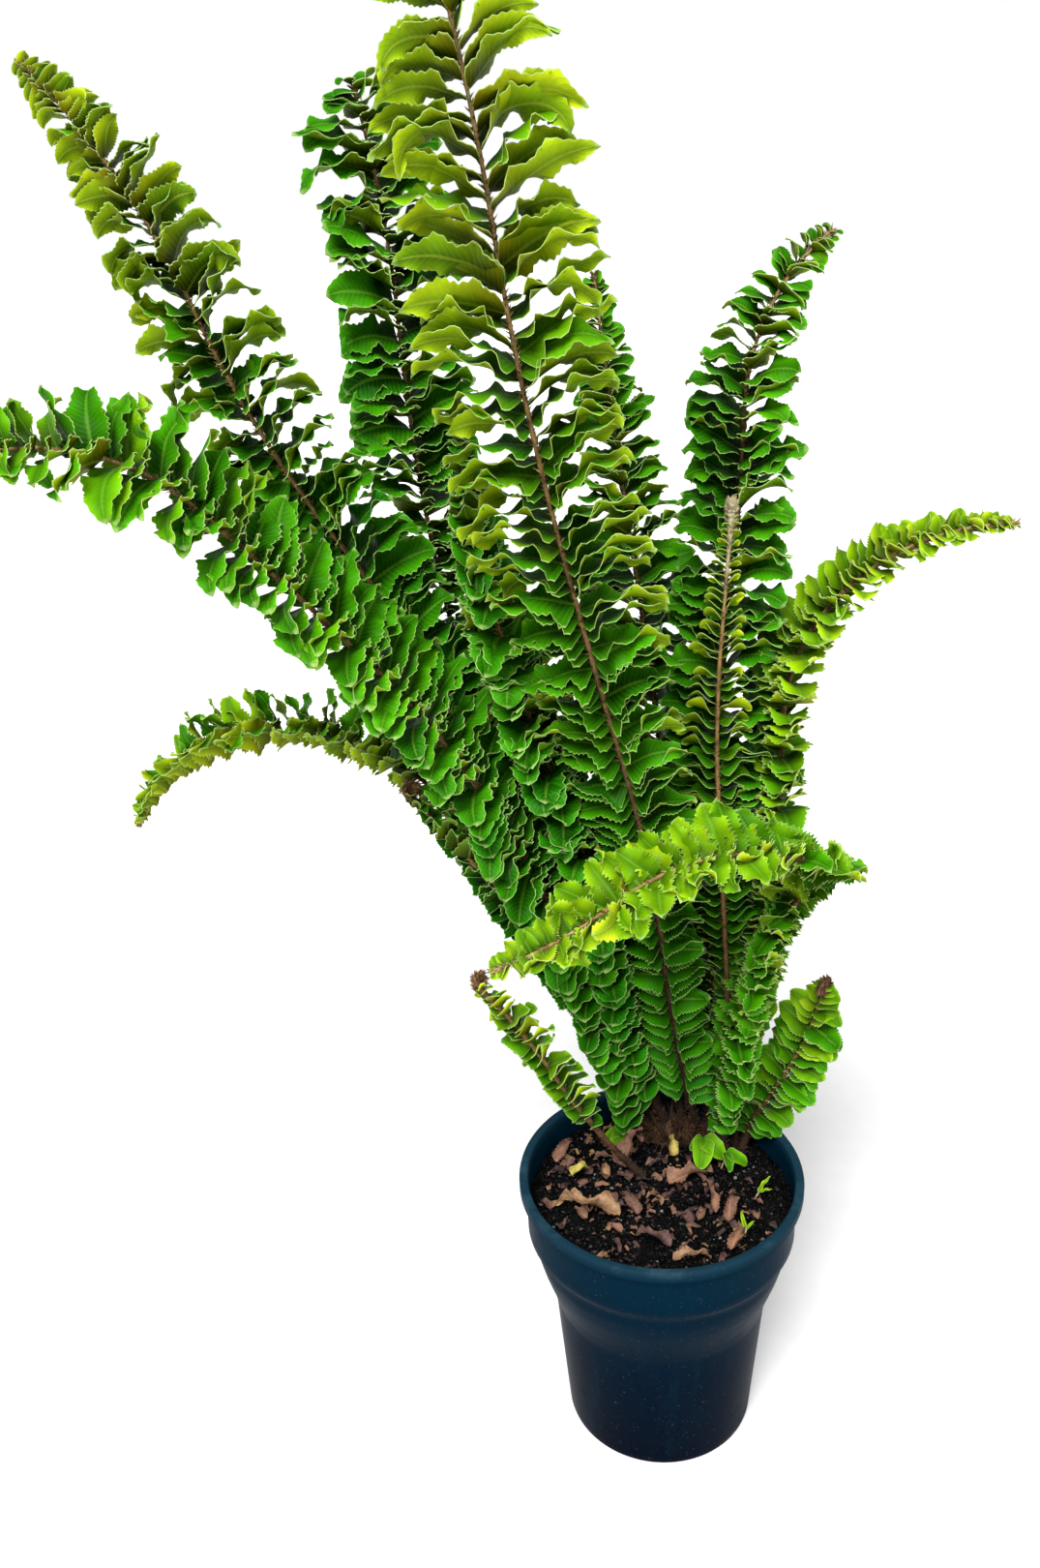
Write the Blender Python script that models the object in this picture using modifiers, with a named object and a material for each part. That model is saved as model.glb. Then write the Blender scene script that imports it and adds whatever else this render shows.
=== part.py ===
"""Potted sword fern: a nursery pot, its potting soil, and a crown of wavy fronds.

Lengths are in metres and +Z is up. The origin is the middle of the pot's flat base.
A frond grows from its root on the soil: its lean from the vertical and its heading
round the pot change evenly between the stations listed for it, from root to tip.
"""
import math
from typing import NamedTuple

import bmesh
import bpy
from mathutils import Euler, Quaternion, Vector

# Room left between two pieces that touch
GAP = 0.0003

# Pot, from the rim downward; drops are measured from the top of the rim
POT_HEIGHT = 0.160
RIM_RADIUS = 0.075
LIP_WIDTH = 0.0048
LIP_HEIGHT = 0.006
LIP_ROUND = 0.0015
COLLAR_RADIUS = 0.0712
COLLAR_DROP = 0.032
STEP_RADIUS = 0.0675
STEP_DROP = 0.038
BODY_RADIUS = 0.0567
BODY_DROP = 0.086
BASE_RADIUS = 0.051
BASE_ROUND = 0.002
POT_WALL = 0.0016
POT_FLOOR = 0.0022
DRAIN_HOLES = 6
DRAIN_RADIUS = 0.0045
DRAIN_CIRCLE = 0.036
ROUND_STEPS = 48
SHOULDER_STEPS = 6

# Soil and crown
SOIL_DROP = 0.017
CROWN_PLACE = (0.006, 0.050)
CROWN_SIZE = (0.022, 0.009, 0.004)

# Fronds
STATION = 0.018
STEM_RADIUS = 0.0014
TIP_RADIUS = 0.0006
LEAF_THICKNESS = 0.0009
LEAF_CLEARANCE = 0.0005
LEAF_START_WIDTH = 0.003
LEAF_NOTCH = 0.62
LEAF_LIFT = 0.22
LEAF_TIP_WIDTH = 0.0025

# Young leaves and fallen leaves; lift and point are shares of a leaf's width
SINGLE_LEAF_THICKNESS = 0.0007
SINGLE_LEAF_CURL = 0.0016
SINGLE_LEAF_LIFT = 0.07
SINGLE_LEAF_ROWS = 6
SINGLE_LEAF_POINT = 0.08


class Frond(NamedTuple):
    """How one frond grows. Angles are in degrees, lengths in metres."""
    name: str
    root: tuple
    length: float
    leans: tuple
    headings: tuple
    turns: tuple
    half_width: float
    bare: float
    fullest: float
    taper: float


FRONDS = (
    Frond("frond_tall_front", (0.020, 0.050), 0.615, (15, 9, 19, 17, 10, 21), (225, 228, 232),
          (35, 48), 0.040, 0.14, 0.45, 0.16),
    Frond("frond_upper_left", (-0.006, 0.060), 0.610, (23, 21, 21, 34, 19, 42), (180, 185, 195),
          (72, 80), 0.033, 0.26, 0.40, 0.30),
    Frond("frond_low_left", (-0.012, 0.044), 0.537, (13, 18, 27, 38, 43, 109), (198, 205, 205),
          (-50, -40), 0.034, 0.07, 0.50, 0.16),
    Frond("frond_arching_left", (-0.016, 0.056), 0.428, (23, 21, 30, 65, 113, 153), (172, 172, 178),
          (-10, -30), 0.016, 0.45, 0.30, 0.30),
    Frond("frond_back_left", (0.002, 0.061), 0.564, (22, 24, 22, 9, 2, 15), (165, 165, 170),
          (-48, -58), 0.027, 0.32, 0.30, 0.16),
    Frond("frond_back", (0.012, 0.060), 0.459, (9, 1, 8, 13, 12, 8), (130, 130, 140),
          (-30, -30), 0.026, 0.40, 0.20, 0.45),
    Frond("frond_right", (0.026, 0.057), 0.489, (1, 0, 0, 6, 1, 69), (40, 40, 30),
          (35, 35), 0.020, 0.50, 0.20, 0.30),
    Frond("frond_fiddlehead", (0.042, 0.042), 0.358, (-6, -3, -4, -3, 3, 3), (0, 0, 0),
          (-90, -90), 0.013, 0.45, 0.30, 0.50),
    Frond("frond_arching_right", (0.031, 0.054), 0.409, (2, 14, 4, 0, 48, 94), (350, 350, 355),
          (50, 15), 0.018, 0.16, 0.40, 0.35),
    Frond("frond_front", (0.034, 0.035), 0.394, (0, 12, 24, 71, 128, 107), (350, 350, 330, 200, 190, 190),
          (58, 0, -40), 0.0195, 0.10, 0.62, 0.12),
    Frond("frond_small_left", (-0.012, 0.014), 0.163, (35, 31, 28, 28, 33, 37), (205, 200, 200),
          (50, 50), 0.012, 0.30, 0.30, 0.35),
    Frond("frond_small_right", (0.045, 0.038), 0.114, (17, 31, 28, 18, 14, 17), (10, 5, 0),
          (50, 50), 0.014, 0.12, 0.35, 0.35),
    Frond("frond_short_left", (-0.019, 0.050), 0.246, (5, 22, 29, 32, 34, 46), (186, 186, 186),
          (30, 30), 0.016, 0.45, 0.30, 0.40),
    Frond("frond_inner_left", (0.002, 0.054), 0.407, (23, 7, 16, 19, 12, 1), (200, 195, 195),
          (-30, -30), 0.020, 0.45, 0.30, 0.30),
)


class Leaf(NamedTuple):
    """A single leaf on the soil: its middle, its outline, and its turn and tilt in degrees."""
    name: str
    place: tuple
    length: float
    width: float
    heading: float
    tilt: float


LITTER = (
    Leaf("dried_leaf_gold", (-0.038, -0.016), 0.034, 0.010, 170, 2),
    Leaf("dried_leaf_tan", (0.016, 0.011), 0.024, 0.010, 20, 3),
    Leaf("dried_leaf_yellow", (-0.043, 0.015), 0.012, 0.005, 40, 4),
    Leaf("dried_leaf_left", (-0.054, 0.030), 0.018, 0.007, 70, 3),
    Leaf("dried_leaf_middle", (-0.016, -0.010), 0.017, 0.007, 120, 3),
    Leaf("dried_leaf_strip", (0.027, -0.003), 0.022, 0.005, 100, 3),
    Leaf("dried_leaf_right", (0.037, -0.010), 0.020, 0.007, 80, 3),
    Leaf("dried_leaf_front", (0.016, -0.047), 0.019, 0.007, 15, 2),
    Leaf("dried_leaf_mauve", (-0.004, -0.036), 0.020, 0.007, 155, 2),
    Leaf("dried_leaf_curl", (0.040, -0.033), 0.017, 0.006, 60, 3),
    Leaf("dried_leaf_crown", (-0.015, 0.030), 0.022, 0.009, 60, 8),
    Leaf("dried_leaf_pale", (0.006, 0.036), 0.012, 0.006, 100, 6),
)

YOUNG_LEAVES = (
    Leaf("young_leaf_bright", (0.025, 0.027), 0.017, 0.012, 290, -40),
    Leaf("young_leaf_behind", (0.039, 0.021), 0.014, 0.009, 320, -36),
    Leaf("young_leaf_left", (-0.024, 0.036), 0.014, 0.009, 250, -38),
    Leaf("seedling_right", (0.058, 0.005), 0.013, 0.007, 20, 30),
    Leaf("seedling_front", (0.046, -0.020), 0.012, 0.006, 70, 35),
)

SOIL_TOP = POT_HEIGHT - SOIL_DROP


def clear_scene():
    """Remove whatever the scene holds."""
    for item in list(bpy.data.objects):
        bpy.data.objects.remove(item, do_unlink=True)


def new_collection(name):
    group = bpy.data.collections.new(name)
    bpy.context.scene.collection.children.link(group)
    return group


def finish_material(name, color, roughness):
    """A plain Principled material in the piece's own colour."""
    material = bpy.data.materials.new(name)
    material.use_nodes = True
    shader = material.node_tree.nodes["Principled BSDF"]
    shader.inputs["Base Color"].default_value = (*color, 1.0)
    shader.inputs["Roughness"].default_value = roughness
    shader.inputs["Metallic"].default_value = 0.0
    return material


def add_object(name, data, group, material=None):
    """Link a mesh or a curve to the scene under its own name."""
    item = bpy.data.objects.new(name, data)
    group.objects.link(item)
    if material:
        data.materials.append(material)
    return item


def ease(share):
    """Smooth step from 0 to 1."""
    share = min(max(share, 0.0), 1.0)
    return share * share * (3.0 - 2.0 * share)


# --- pot and soil -------------------------------------------------------------------------------

def outer_radius(drop):
    """Outer radius of the pot's wall below its lip."""
    if drop <= COLLAR_DROP:
        return COLLAR_RADIUS
    if drop <= STEP_DROP:
        share = (drop - COLLAR_DROP) / (STEP_DROP - COLLAR_DROP)
        return COLLAR_RADIUS + (STEP_RADIUS - COLLAR_RADIUS) * share
    if drop <= BODY_DROP:
        share = ease((drop - STEP_DROP) / (BODY_DROP - STEP_DROP))
        return STEP_RADIUS + (BODY_RADIUS - STEP_RADIUS) * share
    share = (drop - BODY_DROP) / (POT_HEIGHT - BODY_DROP)
    return BODY_RADIUS + (BASE_RADIUS - BODY_RADIUS) * share


def wall_drops():
    """Drops at which the wall changes slope, top to bottom, between the lip and the floor."""
    fall = (BODY_DROP - STEP_DROP) / SHOULDER_STEPS
    return [COLLAR_DROP] + [STEP_DROP + fall * step for step in range(SHOULDER_STEPS + 1)]


def arc(center, radius, start, end, parts):
    """Points of a round edge in the profile plane."""
    points = []
    for step in range(parts + 1):
        angle = math.radians(start + (end - start) * step / parts)
        points.append((center[0] + radius * math.cos(angle), center[1] + radius * math.sin(angle)))
    return points


def turned(name, profile, group, material):
    """Turn a profile of (radius, height) points round the Z axis."""
    mesh = bpy.data.meshes.new(name)
    points = [(radius, 0.0, height) for radius, height in profile]
    edges = [(index, index + 1) for index in range(len(points) - 1)]
    mesh.from_pydata(points, edges, [])
    item = add_object(name, mesh, group, material)
    screw = item.modifiers.new("Turn", "SCREW")
    screw.axis = "Z"
    screw.steps = ROUND_STEPS
    screw.render_steps = ROUND_STEPS
    screw.use_merge_vertices = True
    screw.merge_threshold = 0.00001
    screw.use_smooth_shade = True
    return item


def pot_profile():
    """Half section of the pot: up the inside, over the lip, down the outside, in along the base."""
    floor_drop = POT_HEIGHT - POT_FLOOR
    inside = [(0.0, POT_FLOOR), (outer_radius(floor_drop) - POT_WALL, POT_FLOOR)]
    for drop in reversed(wall_drops()):
        inside.append((outer_radius(drop) - POT_WALL, POT_HEIGHT - drop))
    inside.append((COLLAR_RADIUS - POT_WALL, POT_HEIGHT - LIP_HEIGHT))
    lip_inner = (RIM_RADIUS - LIP_WIDTH + LIP_ROUND, POT_HEIGHT - LIP_ROUND)
    lip_outer = (RIM_RADIUS - LIP_ROUND, POT_HEIGHT - LIP_ROUND)
    lip = arc(lip_inner, LIP_ROUND, 180, 90, 3) + arc(lip_outer, LIP_ROUND, 90, 0, 3)
    lip.append((RIM_RADIUS, POT_HEIGHT - LIP_HEIGHT))
    lip.append((COLLAR_RADIUS, POT_HEIGHT - LIP_HEIGHT - LIP_ROUND))
    outside = [(outer_radius(drop), POT_HEIGHT - drop) for drop in wall_drops()]
    base_center = (BASE_RADIUS - BASE_ROUND, BASE_ROUND)
    foot = arc(base_center, BASE_ROUND, 0, -90, 3)
    return inside + lip + outside + foot + [(0.0, 0.0)]


def build_pot(group, cutters):
    material = finish_material("pot_plastic", (0.004, 0.022, 0.045), 0.38)
    pot = turned("pot", pot_profile(), group, material)
    for index in range(DRAIN_HOLES):
        angle = 2.0 * math.pi * index / DRAIN_HOLES
        place = Vector((DRAIN_CIRCLE * math.cos(angle), DRAIN_CIRCLE * math.sin(angle), POT_FLOOR / 2.0))
        mesh = bpy.data.meshes.new("drain_cutter")
        shape = bmesh.new()
        bmesh.ops.create_cone(shape, cap_ends=True, segments=12, radius1=DRAIN_RADIUS,
                              radius2=DRAIN_RADIUS, depth=POT_FLOOR * 3.0)
        shape.to_mesh(mesh)
        shape.free()
        cutter = add_object(f"drain_cutter_{index + 1}", mesh, cutters)
        cutter.location = place
        cutter.hide_render = True
        cutter.display_type = "WIRE"
        cut = pot.modifiers.new("Drain", "BOOLEAN")
        cut.operation = "DIFFERENCE"
        cut.object = cutter
    return pot


def build_soil(group):
    """The block of potting soil, which fills the pot's inside up to SOIL_DROP below the rim."""
    material = finish_material("potting_soil", (0.018, 0.012, 0.010), 0.95)
    reach = POT_WALL + GAP
    profile = [(0.0, SOIL_TOP), (outer_radius(SOIL_DROP) - reach, SOIL_TOP)]
    for drop in wall_drops():
        profile.append((outer_radius(drop) - reach, POT_HEIGHT - drop))
    foot = POT_FLOOR + GAP
    profile.append((outer_radius(POT_HEIGHT - foot) - reach, foot))
    profile.append((0.0, foot))
    return turned("potting_soil", profile, group, material)


def crown_height(place):
    """Height of the crown above the soil at a place on it."""
    across = (place[0] - CROWN_PLACE[0]) / CROWN_SIZE[0]
    along = (place[1] - CROWN_PLACE[1]) / CROWN_SIZE[1]
    left = 1.0 - across * across - along * along
    return CROWN_SIZE[2] * math.sqrt(left) if left > 0.0 else 0.0


def build_crown(group):
    """The short rhizome that the fronds grow from, a low mound lying on the soil."""
    material = finish_material("crown_scales", (0.09, 0.045, 0.020), 0.9)
    mesh = bpy.data.meshes.new("crown")
    shape = bmesh.new()
    bmesh.ops.create_uvsphere(shape, u_segments=16, v_segments=8, radius=1.0)
    cut = bmesh.ops.bisect_plane(shape, geom=shape.verts[:] + shape.edges[:] + shape.faces[:],
                                 plane_co=(0, 0, 0.05), plane_no=(0, 0, 1), clear_inner=True)
    rim = [part for part in cut["geom_cut"] if isinstance(part, bmesh.types.BMEdge)]
    bmesh.ops.holes_fill(shape, edges=rim)
    bmesh.ops.scale(shape, vec=CROWN_SIZE, verts=shape.verts)
    bmesh.ops.recalc_face_normals(shape, faces=shape.faces)
    shape.to_mesh(mesh)
    shape.free()
    mesh.shade_smooth()
    crown = add_object("crown", mesh, group, material)
    crown.location = (*CROWN_PLACE, SOIL_TOP + GAP)
    return crown


# --- fronds -------------------------------------------------------------------------------------

def between(values, share):
    """Read evenly spaced stations at a share of the way along them."""
    place = min(max(share, 0.0), 1.0) * (len(values) - 1)
    index = min(int(place), len(values) - 2)
    return values[index] + (values[index + 1] - values[index]) * (place - index)


class Station(NamedTuple):
    """One station of a frond's midrib, with the blade's two directions there."""
    share: float
    place: Vector
    upper: Vector
    side: Vector


def frond_stations(frond):
    """Walk up a frond from its root and give its stations."""
    count = 2 * round(frond.length / STATION / 2.0)
    stride = frond.length / count
    foot = SOIL_TOP + crown_height(frond.root) + GAP + 2.0 * STEM_RADIUS
    place = Vector((*frond.root, foot))
    stations = []
    for index in range(count + 1):
        share = index / count
        lean = math.radians(between(frond.leans, share))
        heading = math.radians(between(frond.headings, share))
        out = Vector((math.cos(heading), math.sin(heading), 0.0))
        up = Vector((0.0, 0.0, 1.0))
        along = out * math.sin(lean) + up * math.cos(lean)
        upper = up * math.sin(lean) - out * math.cos(lean)
        turn = Quaternion(along, math.radians(between(frond.turns, share)))
        upper.rotate(turn)
        stations.append(Station(share, place.copy(), upper, along.cross(upper)))
        place += along * stride
    return stations


def blade_half_width(frond, share):
    """Half the width that the leaflets span at a share of the frond's length."""
    blade = (share - frond.bare) / (1.0 - frond.bare)
    grown = ease(blade / frond.fullest)
    closing = ease((1.0 - blade) / frond.taper)
    width = LEAF_START_WIDTH + (frond.half_width - LEAF_START_WIDTH) * grown
    return LEAF_TIP_WIDTH + (width - LEAF_TIP_WIDTH) * closing


def build_stem(frond, stations, group, material):
    """The stalk and midrib: a thin round rod along the stations."""
    curve = bpy.data.curves.new(frond.name + "_stem", "CURVE")
    curve.dimensions = "3D"
    curve.bevel_depth = STEM_RADIUS
    curve.bevel_resolution = 1
    curve.use_fill_caps = True
    spline = curve.splines.new("POLY")
    spline.points.add(len(stations) - 1)
    for point, station in zip(spline.points, stations):
        point.co = (*station.place, 1.0)
        point.radius = 1.0 + (TIP_RADIUS / STEM_RADIUS - 1.0) * station.share
    return add_object(frond.name + "_stem", curve, group, material)


def build_leaflets(frond, stations, group, material):
    """The two rows of leaflets as one thin ribbon with a scalloped edge above the midrib."""
    rows = []
    for index, station in enumerate(stations):
        if station.share < frond.bare:
            continue
        reach = blade_half_width(frond, station.share)
        if index % 2:
            reach *= LEAF_NOTCH
        middle = station.place + station.upper * (STEM_RADIUS + GAP + LEAF_CLEARANCE)
        edge = station.upper * (reach * LEAF_LIFT)
        rows.append((middle - station.side * reach + edge, middle, middle + station.side * reach + edge))
    points = [point for row in rows for point in row]
    faces = []
    for row in range(len(rows) - 1):
        for column in range(2):
            corner = 3 * row + column
            faces.append((corner, corner + 1, corner + 4, corner + 3))
    mesh = bpy.data.meshes.new(frond.name + "_leaflets")
    mesh.from_pydata(points, [], faces)
    item = add_object(frond.name + "_leaflets", mesh, group, material)
    shell = item.modifiers.new("Thickness", "SOLIDIFY")
    shell.thickness = LEAF_THICKNESS
    shell.offset = -1.0
    return item


def build_fronds(group):
    stem_finish = finish_material("stem_scales", (0.16, 0.075, 0.030), 0.8)
    leaf_finish = finish_material("leaflet_green", (0.030, 0.170, 0.020), 0.45)
    for frond in FRONDS:
        stations = frond_stations(frond)
        build_stem(frond, stations, group, stem_finish)
        build_leaflets(frond, stations, group, leaf_finish)


# --- single leaves ------------------------------------------------------------------------------

def build_leaf(leaf, group, material, lift):
    """A pointed oval leaf, curled along its midrib, lying or standing on the soil."""
    points = []
    for step in range(SINGLE_LEAF_ROWS + 1):
        share = step / SINGLE_LEAF_ROWS
        bulge = math.sin(math.pi * share)
        half = max(leaf.width / 2.0 * bulge, leaf.width * SINGLE_LEAF_POINT)
        along = leaf.length * (share - 0.5)
        arch = SINGLE_LEAF_CURL * bulge
        edge = arch + SINGLE_LEAF_CURL / 2.0
        points += [(along, -half, edge), (along, 0.0, arch), (along, half, edge)]
    faces = []
    for row in range(SINGLE_LEAF_ROWS):
        for column in range(2):
            corner = 3 * row + column
            faces.append((corner, corner + 3, corner + 4, corner + 1))
    mesh = bpy.data.meshes.new(leaf.name)
    mesh.from_pydata(points, [], faces)
    mesh.shade_smooth()
    item = add_object(leaf.name, mesh, group, material)
    shell = item.modifiers.new("Thickness", "SOLIDIFY")
    shell.thickness = SINGLE_LEAF_THICKNESS
    shell.offset = 1.0
    tilt = math.radians(leaf.tilt)
    raise_by = leaf.length / 2.0 * abs(math.sin(tilt)) + leaf.width * SINGLE_LEAF_LIFT / 2.0 + lift
    item.location = (*leaf.place, SOIL_TOP + GAP + raise_by)
    item.rotation_euler = Euler((0.0, -tilt, math.radians(leaf.heading)), "XYZ")
    return item


def build_single_leaves(group):
    litter_finish = finish_material("dried_leaf", (0.30, 0.14, 0.06), 0.85)
    young_finish = finish_material("young_leaf", (0.14, 0.42, 0.03), 0.4)
    for leaf in LITTER:
        build_leaf(leaf, group, litter_finish, crown_height(leaf.place))
    for leaf in YOUNG_LEAVES:
        build_leaf(leaf, group, young_finish, 0.0)


def main():
    clear_scene()
    group = new_collection("potted_fern")
    cutters = new_collection("cutters")
    build_pot(group, cutters)
    build_soil(group)
    build_crown(group)
    build_fronds(group)
    build_single_leaves(group)


main()
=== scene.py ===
"""Looks of a potted sword fern: wavy fronds, leaf litter, potting soil and a nursery pot.

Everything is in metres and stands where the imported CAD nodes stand. A frond's leaflets are
grown along the midrib that its CAD stem node gives, facing as its CAD leaflets node faces.
"""
import math
from typing import NamedTuple

import bmesh
import bpy
import numpy as np
from mathutils import Matrix


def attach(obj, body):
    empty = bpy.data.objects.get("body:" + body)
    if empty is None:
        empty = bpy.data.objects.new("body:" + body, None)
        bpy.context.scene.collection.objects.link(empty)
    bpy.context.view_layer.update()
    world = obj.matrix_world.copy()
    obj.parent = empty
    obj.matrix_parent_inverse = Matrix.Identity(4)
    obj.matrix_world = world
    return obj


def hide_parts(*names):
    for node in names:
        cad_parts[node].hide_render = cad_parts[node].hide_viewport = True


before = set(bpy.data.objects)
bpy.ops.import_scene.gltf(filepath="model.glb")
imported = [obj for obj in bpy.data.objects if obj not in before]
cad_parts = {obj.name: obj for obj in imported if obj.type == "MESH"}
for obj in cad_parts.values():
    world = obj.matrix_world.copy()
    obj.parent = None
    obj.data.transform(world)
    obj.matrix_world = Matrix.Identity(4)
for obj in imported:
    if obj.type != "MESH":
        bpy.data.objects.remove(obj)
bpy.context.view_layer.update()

bl_info = {
    "name": "Potted Fern",
    "version": (1, 0, 0),
    "blender": (4, 5, 0),
    "location": "View3D > Sidebar > Fern",
    "description": "Grows a potted sword fern round its packed frame",
    "category": "Add Mesh",
}

BAKE_MAP = "OFBake"
LEAF_MAP = "LeafMap"


# --- reading the CAD nodes ----------------------------------------------------------------------

RING_SPAN = 0.006
MIDRIB_REACH = 0.0045


def node_points(name):
    """A CAD node's corner points, each once."""
    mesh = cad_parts[name].data
    points = np.empty(len(mesh.vertices) * 3)
    mesh.vertices.foreach_get("co", points)
    return np.unique(points.reshape(-1, 3).round(6), axis=0)


def unit(vectors):
    """Vectors scaled to length 1 along their last axis."""
    return vectors / np.maximum(np.linalg.norm(vectors, axis=-1, keepdims=True), 1e-9)


def ring_centres(points):
    """Middles of a rod's rings of corners, in order from its lowest end."""
    here = points[points[:, 2].argmin()]
    line = []
    while len(points):
        start = points[np.linalg.norm(points - here, axis=1).argmin()]
        ring = np.linalg.norm(points - start, axis=1) < RING_SPAN
        line.append(points[ring].mean(axis=0))
        points = points[~ring]
        here = line[-1]
    return np.array(line)


def ring_uppers(line, along, points):
    """At each ring of a midrib, the direction that the blade's upper face looks in."""
    uppers = [None] * len(line)
    for index, (centre, axis) in enumerate(zip(line, along)):
        away = points - centre
        flat = away - np.outer(away @ axis, axis)
        near = (abs(away @ axis) < RING_SPAN) & (np.linalg.norm(flat, axis=1) < MIDRIB_REACH)
        if near.sum() >= 2:
            uppers[index] = unit(flat[near].mean(axis=0))
    first = next(index for index, upper in enumerate(uppers) if upper is not None)
    for index in range(first - 1, -1, -1):
        uppers[index] = uppers[index + 1]
    for index in range(first + 1, len(uppers)):
        if uppers[index] is None:
            uppers[index] = uppers[index - 1]
    uppers = np.array(uppers)
    return unit(uppers - (uppers * along).sum(axis=1, keepdims=True) * along)


def smooth_read(values, place):
    """Read rows of values at places counted in rows, along a smooth curve through them."""
    last = len(values) - 1
    place = np.clip(place, 0.0, last)
    start = np.minimum(place.astype(int), last - 1)
    part = (place - start)[:, None]
    one, two = values[start], values[start + 1]
    before = np.where(start[:, None] > 0, values[np.maximum(start - 1, 0)], 2 * one - two)
    after = np.where(start[:, None] < last - 1, values[np.minimum(start + 2, last)], 2 * two - one)
    bend = 2 * before - 5 * one + 4 * two - after
    twist = 3 * (one - two) + after - before
    return one + 0.5 * part * (two - before + part * (bend + part * twist))


class Midrib:
    """The centre line of a frond with the blade's directions along it."""

    def __init__(self, key):
        self.line = ring_centres(node_points(f"{key}_stem"))
        along = unit(np.gradient(self.line, axis=0))
        self.uppers = ring_uppers(self.line, along, node_points(f"{key}_leaflets"))
        steps = np.linalg.norm(np.diff(self.line, axis=0), axis=1)
        self.marks = np.concatenate([[0.0], np.cumsum(steps)])
        self.length = self.marks[-1]

    def read(self, distance):
        """Places, tangents, upper directions and side directions at distances from the root."""
        distance = np.atleast_1d(np.asarray(distance, dtype=float))
        rows = np.interp(distance, self.marks, np.arange(len(self.marks)))
        place = smooth_read(self.line, rows)
        ahead = smooth_read(self.line, rows + 0.05)
        behind = smooth_read(self.line, rows - 0.05)
        along = unit(ahead - behind)
        upper = smooth_read(self.uppers, rows)
        upper = unit(upper - (upper * along).sum(axis=1, keepdims=True) * along)
        return place, along, upper, np.cross(along, upper)


# --- mesh helpers -------------------------------------------------------------------------------

def grid_faces(rows, columns):
    """Quads of a grid of points, row by row."""
    row, column = np.meshgrid(np.arange(rows - 1), np.arange(columns - 1), indexing="ij")
    corner = (row * columns + column).ravel()
    return np.stack([corner, corner + columns, corner + columns + 1, corner + 1], axis=1)


def border_loop(rows, columns):
    """Indices round the border of a grid of points."""
    top = list(range(columns))
    right = [row * columns + columns - 1 for row in range(1, rows)]
    bottom = [(rows - 1) * columns + column for column in range(columns - 2, -1, -1)]
    left = [row * columns for row in range(rows - 2, 0, -1)]
    return np.array(top + right + bottom + left)


def make_piece(name, points, faces, materials, slots=None, smooth_angle=50.0):
    """A mesh object from arrays of points and faces, smooth except at sharp edges."""
    mesh = bpy.data.meshes.new(name)
    mesh.from_pydata(points.tolist(), [], faces if isinstance(faces, list) else faces.tolist())
    for material in materials:
        mesh.materials.append(material)
    if slots is not None:
        mesh.polygons.foreach_set("material_index", slots)
    mesh.shade_smooth()
    if smooth_angle:
        mesh.set_sharp_from_angle(angle=math.radians(smooth_angle))
    mesh.update()
    item = bpy.data.objects.new(name, mesh)
    bpy.context.scene.collection.objects.link(item)
    return item


def add_point_value(item, name, values):
    """A number for each point that the materials can read."""
    attribute = item.data.attributes.new(name, "FLOAT", "POINT")
    attribute.data.foreach_set("value", values.astype(np.float32))


def declare(item, slot, *nodes):
    """Hang a finished piece on the frame."""
    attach(item, "root")
    if nodes:
        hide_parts(*nodes)


# --- material helpers ---------------------------------------------------------------------------

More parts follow.
